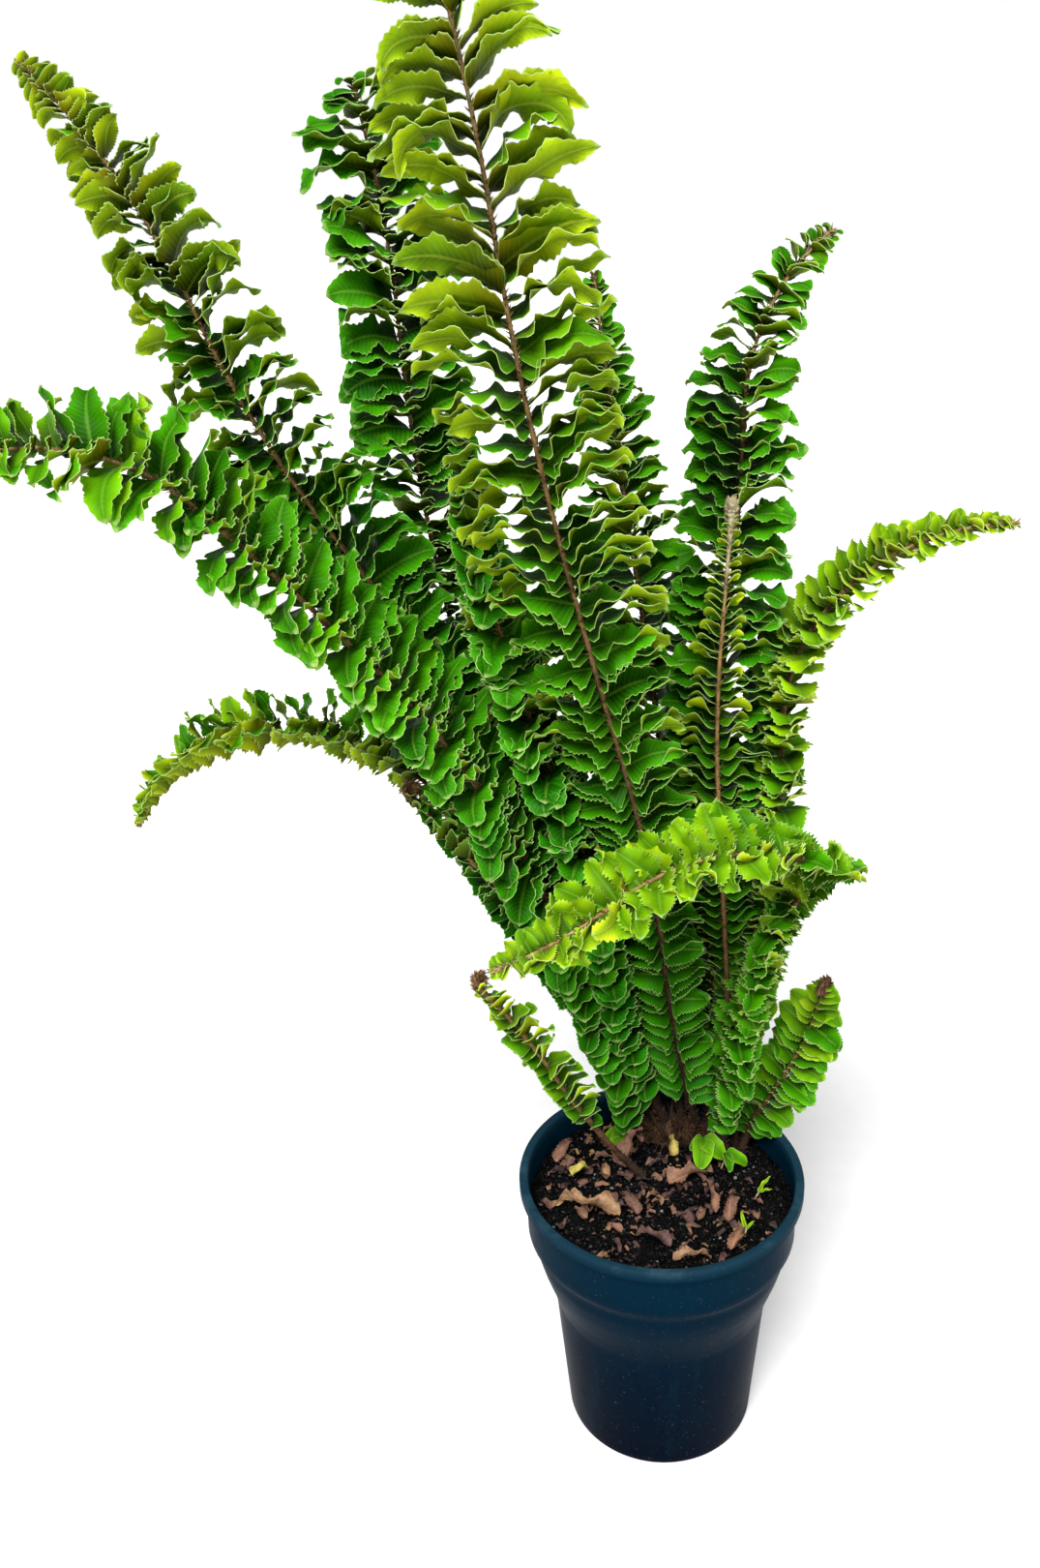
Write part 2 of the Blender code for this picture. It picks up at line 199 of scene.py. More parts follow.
class Shading:
    """Short ways to add and join a material's or a group's nodes."""

    def __init__(self, tree):
        self.tree = tree

    def node(self, kind, **settings):
        """A new node with its settings."""
        made = self.tree.nodes.new(kind)
        for key, value in settings.items():
            setattr(made, key, value)
        return made

    def feed(self, socket, value):
        """Give a socket a link or a fixed value."""
        if isinstance(value, bpy.types.NodeSocket):
            self.tree.links.new(value, socket)
        else:
            socket.default_value = value

    def math(self, operation, *values):
        """The result of a math node for links or fixed values."""
        made = self.node("ShaderNodeMath", operation=operation)
        for socket, value in zip(made.inputs, values):
            self.feed(socket, value)
        return made.outputs[0]

    def mix(self, share, one, two, blend="MIX"):
        """Two colors mixed, with the share of the second."""
        made = self.node("ShaderNodeMix", data_type="RGBA", blend_type=blend)
        self.feed(made.inputs[0], share)
        self.feed(made.inputs[6], one)
        self.feed(made.inputs[7], two)
        return made.outputs[2]

    def dab(self, mask, amount, one, two):
        """The first color, with an amount of the second where the mask is white."""
        return self.mix(self.math("MULTIPLY", mask, amount), one, two)

    def tint(self, one, two):
        """One color multiplied by another."""
        return self.mix(1.0, one, two, "MULTIPLY")

    def noise(self, vector, scale, detail=3.0, roughness=0.6):
        """Noise between about 0.3 and 0.7."""
        made = self.node("ShaderNodeTexNoise")
        self.feed(made.inputs["Vector"], vector)
        self.feed(made.inputs["Scale"], scale)
        made.inputs["Detail"].default_value = detail
        made.inputs["Roughness"].default_value = roughness
        return made.outputs["Fac"]

    def ramp(self, share, stops):
        """A color read from stops, each a place and a color."""
        made = self.node("ShaderNodeValToRGB")
        while len(made.color_ramp.elements) < len(stops):
            made.color_ramp.elements.new(0.5)
        for element, (place, color) in zip(made.color_ramp.elements, stops):
            element.position = place
            element.color = (*color, 1.0)
        self.feed(made.inputs[0], share)
        return made.outputs[0]

    def band(self, value, low, high, start=0.0, end=1.0):
        """Carry a value from one range to another, held at the ends."""
        made = self.node("ShaderNodeMapRange", clamp=True)
        for socket, number in zip(made.inputs, (value, low, high, start, end)):
            self.feed(socket, number)
        return made.outputs[0]

    def attribute(self, name):
        """A number that the mesh carries at each point."""
        return self.node("ShaderNodeAttribute", attribute_name=name).outputs["Fac"]

    def object_space(self):
        """Places in the piece's own metres."""
        return self.node("ShaderNodeTexCoord").outputs["Object"]

    def bump(self, height, strength, distance):
        """A normal for a height, with the distance in metres."""
        made = self.node("ShaderNodeBump")
        made.inputs["Strength"].default_value = strength
        made.inputs["Distance"].default_value = distance
        self.feed(made.inputs["Height"], height)
        return made.outputs["Normal"]


def new_material(name, roughness=0.5, specular=0.5):
    """An empty Principled material; its shader and its node helper."""
    material = bpy.data.materials.new(name)
    material.use_nodes = True
    shader = material.node_tree.nodes["Principled BSDF"]
    shader.inputs["Roughness"].default_value = roughness
    shader.inputs["Specular IOR Level"].default_value = specular
    return material, shader, Shading(material.node_tree)


def new_group(name, inputs, outputs):
    """A shader node group with named sockets; its helper, its inputs and its output node."""
    tree = bpy.data.node_groups.new(name, "ShaderNodeTree")
    for label, kind, value in inputs:
        socket = tree.interface.new_socket(label, in_out="INPUT", socket_type=kind)
        socket.default_value = value
    for label, kind in outputs:
        tree.interface.new_socket(label, in_out="OUTPUT", socket_type=kind)
    helper = Shading(tree)
    return tree, helper, helper.node("NodeGroupInput").outputs, helper.node("NodeGroupOutput").inputs


def place_group(shade, tree, **values):
    """Put a node group in a material with its own values."""
    made = shade.node("ShaderNodeGroup", node_tree=tree)
    for label, value in values.items():
        shade.feed(made.inputs[label.replace("_", " ")], value)
    return made.outputs


COLOR, VALUE = "NodeSocketColor", "NodeSocketFloat"


def mottle_group():
    """Uneven color: two tones mixed by coarse and fine noise, with the mask and a height."""
    if "Mottle" in bpy.data.node_groups:
        return bpy.data.node_groups["Mottle"]
    tree, shade, given, out = new_group(
        "Mottle",
        (("Tone", COLOR, (0.5, 0.5, 0.5, 1)), ("Other Tone", COLOR, (0.3, 0.3, 0.3, 1)),
         ("Coarse", VALUE, 40.0), ("Fine", VALUE, 400.0)),
        (("Color", COLOR), ("Mask", VALUE), ("Height", VALUE)))
    space = shade.object_space()
    coarse, fine = (shade.noise(space, given[label], 4.0, 0.5) for label in ("Coarse", "Fine"))
    blend = shade.math("ADD", shade.math("MULTIPLY", coarse, 0.6), shade.math("MULTIPLY", fine, 0.4))
    mask = shade.band(blend, 0.38, 0.62)
    shade.feed(out["Color"], shade.mix(mask, given["Tone"], given["Other Tone"]))
    shade.feed(out["Mask"], mask)
    shade.feed(out["Height"], fine)
    return tree


def vein_group():
    """Leaf marks read from the leaf map: pale margin, midrib, slanting side veins and a height."""
    if "Leaf Marks" in bpy.data.node_groups:
        return bpy.data.node_groups["Leaf Marks"]
    tree, shade, given, out = new_group(
        "Leaf Marks", (("Veins", VALUE, 16.0), ("Margin", VALUE, 0.93)),
        (("Margin", VALUE), ("Midrib", VALUE), ("Veins", VALUE), ("Height", VALUE), ("Outward", VALUE),
         ("Sideways", VALUE)))
    split = shade.node("ShaderNodeSeparateXYZ")
    shade.feed(split.inputs[0], shade.node("ShaderNodeUVMap", uv_map=LEAF_MAP).outputs[0])
    along = split.outputs[0]
    centred = shade.math("SUBTRACT", shade.math("MULTIPLY", split.outputs[1], 2.0), 1.0)
    across = shade.math("ABSOLUTE", centred)
    far = shade.math("MAXIMUM", across, along)
    midrib = shade.band(across, 0.02, 0.12, 1.0, 0.0)
    slant = shade.math("SUBTRACT", shade.math("MULTIPLY", along, given["Veins"]),
                       shade.math("MULTIPLY", across, 2.2))
    wave = shade.math("ABSOLUTE", shade.math("SINE", shade.math("MULTIPLY", slant, math.pi)))
    veins = shade.math("POWER", shade.math("SUBTRACT", 1.0, wave), 3.0)
    shade.feed(out["Outward"], shade.band(along, 0.02, 0.55))
    shade.feed(out["Sideways"], across)
    shade.feed(out["Margin"], shade.band(far, given["Margin"], 1.0))
    shade.feed(out["Midrib"], midrib)
    shade.feed(out["Veins"], veins)
    shade.feed(out["Height"], shade.math("ADD", shade.math("MULTIPLY", veins, 0.5), midrib))
    return tree


# --- leaf materials -----------------------------------------------------------------------------

def leaf_face_material(name, stops, vein_color, stalk_tint_and_shade, roughness, strength):
    """One face of a leaflet: its tone runs from old to young leaves, with veins and margin; darker near the
    stalk, partly a browner colour and partly painted shade, and painted shade towards the midrib.
    """
    material, shader, shade = new_material(name, roughness, 0.045)
    youth = shade.attribute("youth")
    tone = shade.attribute("tone")
    marks = place_group(shade, vein_group(), Veins=15.0)
    speck = place_group(shade, mottle_group(), Coarse=55.0, Fine=420.0)
    base = shade.ramp(youth, stops)
    toned = shade.tint(base, shade.ramp(tone, ((0.0, (0.45, 0.58, 0.45)), (0.6, (1.1, 1.0, 1.0)),
                                               (1.0, (1.55, 1.22, 1.0)))))
    # Darker towards the stalk: partly the leaflet's browner colour there, partly painted shade near the
    # midrib.
    outward = shade.ramp(marks["Outward"], ((0.0, stalk_tint_and_shade), (1.0, (1.12, 1.08, 1.0))))
    # Painted shade: darker towards the midrib, where overlapping leaflets shade each other, and lighter
    # towards the margins.
    depth = shade.ramp(marks["Sideways"], ((0.15, (0.42, 0.50, 0.5)), (0.95, (1.25, 1.15, 1.0))))
    shaded = shade.tint(shade.tint(toned, outward), depth)
    mottled = shade.dab(speck["Mask"], 0.35, shaded, shade.tint(shaded, (0.50, 0.62, 0.45, 1)))
    veined = shade.dab(marks["Veins"], 0.22, mottled, (*vein_color, 1))
    ribbed = shade.dab(marks["Midrib"], 0.45, veined, (*vein_color, 1))
    edged = shade.dab(marks["Margin"], 0.85, ribbed, (0.34, 0.52, 0.14, 1))
    shade.feed(shader.inputs["Base Color"], edged)
    shade.feed(shader.inputs["Roughness"],
               shade.band(speck["Mask"], 0.0, 1.0, roughness - 0.08, roughness + 0.1))
    height = shade.math("ADD", marks["Height"], shade.math("MULTIPLY", speck["Height"], 0.8))
    shade.feed(shader.inputs["Normal"], shade.bump(height, strength, 0.0003))
    return material


def leaf_rim_material(name, color):
    """The thin cut edge of a leaflet, paler than its faces."""
    material, shader, shade = new_material(name, 0.55, 0.3)
    youth = shade.attribute("youth")
    speck = place_group(shade, mottle_group(), Coarse=90.0, Fine=500.0)
    base = shade.ramp(youth, ((0.0, color), (1.0, (0.55, 0.62, 0.12))))
    shade.feed(shader.inputs["Base Color"], shade.dab(speck["Mask"], 0.4, base, (0.16, 0.30, 0.05, 1)))
    return material


def leaf_materials():
    """Upper face, underside and rim."""
    if "leaf_upper" in bpy.data.materials:
        return [bpy.data.materials[name] for name in ("leaf_upper", "leaf_under", "leaf_rim")]
    # The third colour of each face sets how dark it is near the stalk: painted shade on the upper face, a
    # browner colour with painted shade on the underside.
    upper = leaf_face_material(
        "leaf_upper",
        ((0.0, (0.009, 0.165, 0.001)), (0.45, (0.048, 0.290, 0.001)), (0.75, (0.23, 0.47, 0.004)),
         (1.0, (0.46, 0.66, 0.020))),
        (0.14, 0.34, 0.02), (0.45, 0.50, 0.5), 0.42, 0.5)
    under = leaf_face_material(
        "leaf_under",
        ((0.0, (0.036, 0.180, 0.004)), (0.45, (0.225, 0.380, 0.004)), (0.75, (0.38, 0.60, 0.008)),
         (1.0, (0.46, 0.68, 0.030))),
        (0.30, 0.34, 0.03), (0.38, 0.22, 0.25), 0.55, 0.7)
    return [upper, under, leaf_rim_material("leaf_rim", (0.36, 0.56, 0.20))]


# --- leaflets -----------------------------------------------------------------------------------

LEAF_ROWS = 27
LEAF_COLUMNS = 7
LEAF_GAUGE = 0.00028
CELL_FILL = 0.84
RIM_SPREAD = 1.1


class Leaflets(NamedTuple):
    """One row of numbers for each leaflet of a frond."""
    place: np.ndarray
    axis: np.ndarray
    normal: np.ndarray
    tipward: np.ndarray
    hand: np.ndarray
    length: np.ndarray
    width: np.ndarray
    rise: np.ndarray
    droop: np.ndarray
    curl: np.ndarray
    cup: np.ndarray
    ruffle: np.ndarray
    waves: np.ndarray
    phase: np.ndarray
    teeth: np.ndarray
    point: np.ndarray
    ear: np.ndarray
    base: np.ndarray
    youth: np.ndarray
    tone: np.ndarray


def leaf_outline(leaf, along):
    """Half width of every leaflet along its length, and how far each margin stands out more."""
    grown = np.clip(along / 0.24, 0.0, 1.0)
    base = leaf.base[:, None] + (1.0 - leaf.base[:, None]) * np.sqrt(grown * (2.0 - grown))
    blunt = (1.0 - along ** 3.2) ** 0.62
    sharp = (1.0 - along) ** 0.85 * (1.0 + 0.6 * along)
    point = leaf.point[:, None]
    half = leaf.width[:, None] * base * (blunt * (1.0 - point) + sharp * point)
    ear = leaf.ear[:, None] * leaf.width[:, None] * np.exp(-(((along - 0.12) / 0.09) ** 2))
    return half, ear


def leaf_surface(leaf):
    """Upper surface points of every leaflet, and the direction that its upper face looks in."""
    along = np.linspace(0.0, 1.0, LEAF_ROWS)[None, :]
    across = np.linspace(-1.0, 1.0, LEAF_COLUMNS)[None, None, :]
    half, ear = leaf_outline(leaf, along)
    bend = np.radians(leaf.rise[:, None] - leaf.droop[:, None] * along ** 1.7)
    stride = leaf.length[:, None] / (LEAF_ROWS - 1)
    run = np.cumsum(np.cos(bend) * stride, axis=1) - np.cos(bend) * stride
    climb = np.cumsum(np.sin(bend) * stride, axis=1) - np.sin(bend) * stride
    axis, normal, tipward = leaf.axis[:, None], leaf.normal[:, None], leaf.tipward[:, None]
    spine = leaf.place[:, None] + axis * run[..., None] + normal * climb[..., None]
    up = normal * np.cos(bend)[..., None] - axis * np.sin(bend)[..., None]
    turn = np.radians(leaf.curl[:, None] * along ** 1.6)[..., None]
    over = tipward * np.cos(turn) - up * np.sin(turn)
    up = up * np.cos(turn) + tipward * np.sin(turn)
    tooth = 1.0 - leaf.teeth[:, None] * (np.arange(LEAF_ROWS)[None, :] % 2)
    edge = np.abs(across) ** 3
    reach = half[..., None] * (1.0 + (tooth[..., None] - 1.0) * edge)
    reach = reach + ear[..., None] * np.clip(across, 0.0, 1.0)
    side = np.where(across > 0.0, 1.0, -1.0)
    turns = leaf.waves[:, None, None] * along[..., None] + leaf.phase[:, None, None]
    swing = np.sin(math.pi * turns + side * 0.25)
    wave = 1.25 - 2.2 * np.sqrt(swing ** 2 + 0.045)
    fade = np.clip(along / 0.2, 0.0, 1.0)[..., None]
    lift = leaf.cup[:, None, None] * half[..., None] * across ** 2
    lift = lift + leaf.ruffle[:, None, None] * wave * np.abs(across) ** 1.4 * fade
    lift = lift - leaf.width[:, None, None] * 0.04 * np.exp(-((across / 0.18) ** 2))
    sideways = over[:, :, None] * (reach * across)[..., None]
    points = spine[:, :, None] + sideways + up[:, :, None] * lift[..., None]
    return points, np.broadcast_to(up[:, :, None], points.shape)


def atlas(count):
    """Corners of equal cells that tile the unit square, and a cell's side."""
    side = math.ceil(math.sqrt(count))
    index = np.arange(count)
    return np.stack([index % side, index // side], axis=1) / side, 1.0 / side


def leaves_piece(name, leaf, materials):
    """All leaflets of a frond as thin closed leaves in one mesh."""
    points, up = leaf_surface(leaf)
    count, size = len(points), LEAF_ROWS * LEAF_COLUMNS
    top = points.reshape(count, size, 3)
    low = top - up.reshape(count, size, 3) * LEAF_GAUGE
    corners = np.concatenate([top, low], axis=1).reshape(-1, 3)
    upper = grid_faces(LEAF_ROWS, LEAF_COLUMNS)
    under = upper[:, ::-1] + size
    loop = border_loop(LEAF_ROWS, LEAF_COLUMNS)
    following = np.roll(loop, -1)
    rim = np.stack([loop, loop + size, following + size, following], axis=1)[:, ::-1]
    one = np.concatenate([upper, under, rim])
    other = one[:, ::-1]
    flip = leaf.hand[:, None, None] < 0
    faces = np.where(flip, other[None], one[None]) + (np.arange(count) * 2 * size)[:, None, None]
    kinds = np.concatenate([np.zeros(len(upper)), np.ones(len(under)), np.full(len(rim), 2)])
    item = make_piece(name, corners, faces.reshape(-1, 4), materials,
                      np.tile(kinds, count).astype(np.int32), 55.0)
    add_point_value(item, "youth", np.repeat(leaf.youth, 2 * size))
    add_point_value(item, "tone", np.repeat(leaf.tone, 2 * size))
    add_leaf_maps(item, one, other, flip.ravel(), size, len(upper), count)
    return item


def add_leaf_maps(item, one, other, flip, size, sheet, count):
    """The map along and across each leaflet, and a map with a cell of its own for each face."""
    along, across = np.meshgrid(np.linspace(0, 1, LEAF_ROWS), np.linspace(0, 1, LEAF_COLUMNS),
                                indexing="ij")
    own = np.stack([along.ravel(), across.ravel()], axis=1)
    own = np.concatenate([own, own])
    orders = np.where(flip[:, None, None], other[None], one[None])
    leaf_map = item.data.uv_layers.new(name=LEAF_MAP)
    leaf_map.data.foreach_set("uv", own[orders].reshape(-1).astype(np.float32))
    cells, side = atlas(2 * count)
    inner = 0.5 + (own - 0.5) * CELL_FILL
    spread = np.where(np.arange(2 * size)[:, None] < size, inner, 0.5 + (inner - 0.5) * RIM_SPREAD)
    faces_of = np.zeros(len(one), dtype=int)
    faces_of[sheet:2 * sheet] = 1
    local = inner[orders]
    local[:, 2 * sheet:] = spread[orders[:, 2 * sheet:]]
    cell = cells[(2 * np.arange(count))[:, None] + faces_of[None, :]]
    bake = cell[:, :, None, :] + local * side
    bake_map = item.data.uv_layers.new(name=BAKE_MAP)
    bake_map.data.foreach_set("uv", bake.reshape(-1).astype(np.float32))


# --- fronds -------------------------------------------------------------------------------------

class Habit(NamedTuple):
    """How one frond's leaflets grow. Angles are in degrees, lengths in metres.

    A tuple holds evenly spaced values from the frond's lowest leaflets to its tip.
    first and pitch: where the leaflets start, as a share of the length, and how far apart they are.
    plump: half width as a share of the length. shelf: 0 lies flat in the blade, 90 stands across it.
    sweep: lift towards the blade's upper side. forward: lean towards the tip of the frond.
    droop and relax: bend and twist of a leaflet's outer end. youth: 0 dark green, 1 lime.
    ruffle and wave: height and length of the margin's waves. point: 0 blunt, 1 sharp.
    opening and closing: shares over which the leaflets grow at the foot and shrink at the tip.
    base: width at the stalk as a share of the full width. chaos: how much leaflets differ.
    """
    key: str
    first: float
    pitch: float
    length: float
    plump: float
    shelf: tuple
    sweep: float
    forward: tuple
    droop: tuple
    youth: tuple
    ruffle: float
    point: tuple
    opening: float
    closing: float
    slot: str = "leaflet_green"
    tip: str = "leafy"
    relax: tuple = (-42,)
    wave: float = 0.0115
    base: float = 0.25
    teeth: float = 0.10
    chaos: float = 1.0


HABITS = (
    Habit("frond_tall_front", 0.05, 0.0068, 0.041, 0.30, (120, 112, 98, 78, 54), 8, (0, 20), (35, 65, 95),
          (0.14, 0.28, 0.54, 0.62), 0.0036, (0.2, 0.8, 1.1), 0.60, 0.14, relax=(-14, -34, -56, -62, -58),
          wave=0.0135, teeth=0.14, chaos=1.4),
    Habit("frond_upper_left", 0.10, 0.0064, 0.035, 0.36, (130, 128, 122, 92, 46), 12, (0, 20), (30, 50, 85),
          (0.02, 0.08, 0.24, 0.52), 0.0038, (0.1, 0.3, 1.0), 0.30, 0.20, relax=(-4, -8, -20, -48, -40),
          wave=0.0130, base=0.8, teeth=0.13, chaos=1.5),
    Habit("frond_low_left", 0.03, 0.0070, 0.035, 0.33, (100, 94, 80, 58), 18, (0, 18), (35, 60),
          (0.10, 0.16, 0.38, 0.52), 0.0038, (0.2, 0.7), 0.30, 0.12, relax=(-22,), wave=0.0125, base=0.85,
          chaos=1.2),
    Habit("frond_arching_left", 0.36, 0.0062, 0.025, 0.40, (86, 66, 45), 42, (0, 20), (10, 30),
          (0.22, 0.46, 0.56), 0.0028, (0.2, 0.7), 0.20, 0.28, base=0.7, teeth=0.16, chaos=1.8),
    Habit("frond_back_left", 0.10, 0.0058, 0.034, 0.40, (100, 92, 76), 14, (0, 20), (35, 65),
          (0.06, 0.26), 0.0040, (0.1, 0.6), 0.20, 0.06, relax=(-16,), wave=0.0135, base=0.9, chaos=1.5),
    Habit("frond_back", 0.12, 0.0058, 0.036, 0.36, (98, 88, 66), 8, (0, 25), (35, 65),
          (0.08, 0.42), 0.0034, (0.2, 0.7), 0.15, 0.45, relax=(-25,), base=0.6, chaos=1.5),
    Habit("frond_right", 0.10, 0.0058, 0.030, 0.40, (96, 88, 66), 10, (0, 22), (35, 65),
          (0.10, 0.38), 0.0034, (0.2, 0.7), 0.20, 0.24, relax=(-22,), base=0.6, chaos=1.4),
    Habit("frond_fiddlehead", 0.30, 0.0064, 0.019, 0.36, (100, 90, 60), 14, (0, 25), (40, 70),
          (0.30, 0.62), 0.0024, (0.2, 0.7), 0.20, 0.50, "leaflet_green", "crozier_pale"),
    Habit("frond_arching_right", 0.06, 0.0056, 0.028, 0.40, (102, 96, 80, 42), 14, (0, 14), (25, 45),
          (0.42, 0.62, 0.84), 0.0032, (0.1, 0.5), 0.15, 0.30, "leaflet_lime", relax=(-10,), wave=0.0150,
          base=0.7),
    Habit("frond_front", 0.04, 0.0064, 0.0240, 0.40, (98, 92, 76, 40, 0), 12, (0, 15), (40, 20),
          (0.22, 0.42, 0.62, 0.80), 0.0036, (0.1, 0.3), 0.15, 0.16, "leaflet_lime", base=0.7, teeth=0.22,
          chaos=2.3),
    Habit("frond_small_left", 0.30, 0.0060, 0.017, 0.42, (85, 70, 45), 14, (5, 25), (20, 50),
          (0.45, 0.66), 0.0022, (0.2, 0.7), 0.20, 0.30, "leaflet_green", "crozier_brown", chaos=1.5),
    Habit("frond_small_right", 0.10, 0.0052, 0.020, 0.46, (90, 78, 50), 8, (0, 22), (35, 55),
          (0.40, 0.66), 0.0028, (0.2, 0.6), 0.15, 0.26, "leaflet_green", "crozier_brown", base=0.7,
          chaos=1.4),
    Habit("frond_short_left", 0.28, 0.0092, 0.034, 0.26, (96, 86, 60), 4, (0, 25), (50, 90),
          (0.0, 0.18), 0.0028, (0.4, 0.9), 0.20, 0.36, "leaflet_green", "crozier_brown", chaos=1.3),
    Habit("frond_inner_left", 0.08, 0.0058, 0.033, 0.40, (100, 92, 78), 10, (0, 20), (35, 65),
          (0.0, 0.22), 0.0038, (0.1, 0.5), 0.20, 0.24, relax=(-18,), base=0.8, chaos=1.6),
)


def ease(share):
    """Smooth step from 0 to 1."""
    share = np.clip(share, 0.0, 1.0)
    return share * share * (3.0 - 2.0 * share)


def along_stops(stops, share):
    """Read evenly spaced stops at shares of the way along them."""
    return np.interp(share, np.linspace(0.0, 1.0, len(stops)), stops)


def leaflet_marks(habit, midrib):
    """Distances from the root at which a side's leaflets stand, closer together near the tip."""
    marks = []
    here = habit.first * midrib.length
    while here < midrib.length - 0.0015:
        marks.append(here)
        share = (here / midrib.length - habit.first) / (1.0 - habit.first)
        here += habit.pitch * (1.0 - 0.55 * ease((share - 1.0 + habit.closing) / habit.closing))
    return np.array(marks)


def drift(share, dice):
    """A phase that wanders slowly up the frond, so that neighboring waves nest in each other."""
    pace = dice.uniform(3.0, 9.0, 3)
    return sum(0.10 * np.sin(share * rate + dice.random() * 6.0) for rate in pace)


def frond_leaflets(habit, midrib, dice):
    """Grow a frond's leaflets: alternate pairs, each a little different."""
    marks = leaflet_marks(habit, midrib)
    left, right = marks, marks + habit.pitch / 2.0
    distance = np.concatenate([left, right[:-1]])
    hand = np.concatenate([-np.ones(len(left)), np.ones(len(right) - 1)])
    count = len(distance)
    share = (distance / midrib.length - habit.first) / (1.0 - habit.first)
    place, along, upper, side = midrib.read(distance)

    def vary(spread):
        return dice.normal(0.0, spread, count)

    wild = habit.chaos * (0.8 + 0.6 * np.clip(share, 0.0, 1.0))
    sweep = np.radians(habit.sweep + vary(5.0))[:, None]
    forward = np.radians(along_stops(habit.forward, share) + vary(5.0) * wild)[:, None]
    shelf = np.radians(along_stops(habit.shelf, share) + vary(8.0) * wild)[:, None]
    out = side * hand[:, None]
    swept = out * np.cos(sweep) + upper * np.sin(sweep)
    face = upper * np.cos(sweep) - out * np.sin(sweep)
    axis = swept * np.cos(forward) + along * np.sin(forward)
    ahead = along * np.cos(forward) - swept * np.sin(forward)
    normal = face * np.cos(shelf) + ahead * np.sin(shelf)
    tipward = ahead * np.cos(shelf) - face * np.sin(shelf)
    full = 0.42 + 0.58 * ease(share / habit.opening)
    taper = np.clip((1.0 - share) / habit.closing, 0.0, 1.0) ** 0.75
    length = habit.length * full * (0.10 + 0.90 * taper) * (1.0 + vary(0.07))
    plump = habit.length * habit.plump
    width = np.maximum(plump * (0.55 + 0.45 * full) * (0.25 + 0.75 * taper), 0.0009)
    young = along_stops(habit.youth, share)
    return Leaflets(
        place=place + axis * 0.0008, axis=axis, normal=normal, tipward=tipward, hand=hand,
        length=length, width=width * (1.0 + vary(0.06)),
        rise=16.0 + vary(6.0), droop=along_stops(habit.droop, share) + vary(15.0) * wild,
        curl=along_stops(habit.relax, share) + vary(20.0) * wild, cup=0.16 + vary(0.10),
        ruffle=habit.ruffle * 0.66 * (0.35 + 0.65 * full) * taper * (1.0 + vary(0.22)),
        waves=habit.length * full * (0.10 + 0.90 * taper) / habit.wave + vary(0.04),
        phase=drift(share, dice) + vary(0.03),
        teeth=np.clip(habit.teeth + vary(0.02), 0.03, 0.3),
        point=np.clip(along_stops(habit.point, share) + vary(0.08), 0.0, 1.0),
        ear=np.clip(0.30 + vary(0.08), 0.0, 0.6), base=np.full(count, habit.base),
        youth=np.clip(young + vary(0.07), 0.0, 1.0), tone=np.clip(0.5 + vary(0.22), 0.0, 1.0))


def stem_material():
    """Brown scaly stalk that turns green where it is young."""
    if "stem_scales" in bpy.data.materials:
        return bpy.data.materials["stem_scales"]
    material, shader, shade = new_material("stem_scales", 0.7, 0.3)
    youth = shade.attribute("youth")
    speck = place_group(shade, mottle_group(), Coarse=180.0, Fine=900.0)
    base = shade.ramp(youth, ((0.0, (0.022, 0.012, 0.008)), (0.30, (0.130, 0.060, 0.024)),
                              (0.65, (0.42, 0.25, 0.085)), (1.0, (0.58, 0.52, 0.32))))
    shade.feed(shader.inputs["Base Color"],
               shade.mix(speck["Mask"], base, shade.tint(base, (0.45, 0.45, 0.45, 1))))
    shade.feed(shader.inputs["Normal"], shade.bump(speck["Height"], 0.8, 0.0005))
    return material


STEM_SIDES = 10
STEM_STRIDE = 0.0022
STEM_SINK = 0.0035
CROZIER_SIZE = {"crozier_pale": 0.0042, "crozier_brown": 0.0036}
CROZIER_YOUTH = {"crozier_pale": 1.0, "crozier_brown": 0.35}
CROZIER_TURNS = 1.35
CROZIER_STEPS = 34
CROZIER_TAPER = 12
CROZIER_FADE = 20
WEDGE_FACES = ((0, 1, 2), (0, 3, 1), (1, 3, 2), (2, 3, 0))


def rod(centres, along, upper, radius):
    """Points and faces of a closed rod through the centres."""
    angle = np.linspace(0.0, 2 * math.pi, STEM_SIDES, endpoint=False)
    side = np.cross(along, upper)
    ring = upper[:, None] * np.cos(angle)[:, None] + side[:, None] * np.sin(angle)[:, None]
    points = (centres[:, None] + ring * radius[:, None, None]).reshape(-1, 3)
    faces = []
    for row in range(len(centres) - 1):
        for column in range(STEM_SIDES):
            after = (column + 1) % STEM_SIDES
            first = row * STEM_SIDES
            above = first + STEM_SIDES
            faces.append((first + column, first + after, above + after, above + column))
    last = (len(centres) - 1) * STEM_SIDES
    faces.append(tuple(range(STEM_SIDES - 1, -1, -1)))
    faces.append(tuple(last + column for column in range(STEM_SIDES)))
    return points, faces


def crozier_path(start, along, upper, size, turns):
    """Centres and directions of a fiddlehead: a flat spiral that winds towards the upper side."""
    centres, tangents, uppers = [start], [along], [upper]
    change = turns * 2 * math.pi / CROZIER_STEPS
    angle = 0.0
    for step in range(CROZIER_STEPS):
        share = (step + 1) / CROZIER_STEPS
        radius = size * (1.0 - 0.78 * share)
        angle += change
        tangent = along * math.cos(angle) + upper * math.sin(angle)
        centres.append(centres[-1] + tangent * radius * change)
        tangents.append(tangent)
        uppers.append(upper * math.cos(angle) - along * math.sin(angle))
    return np.array(centres), np.array(tangents), np.array(uppers)


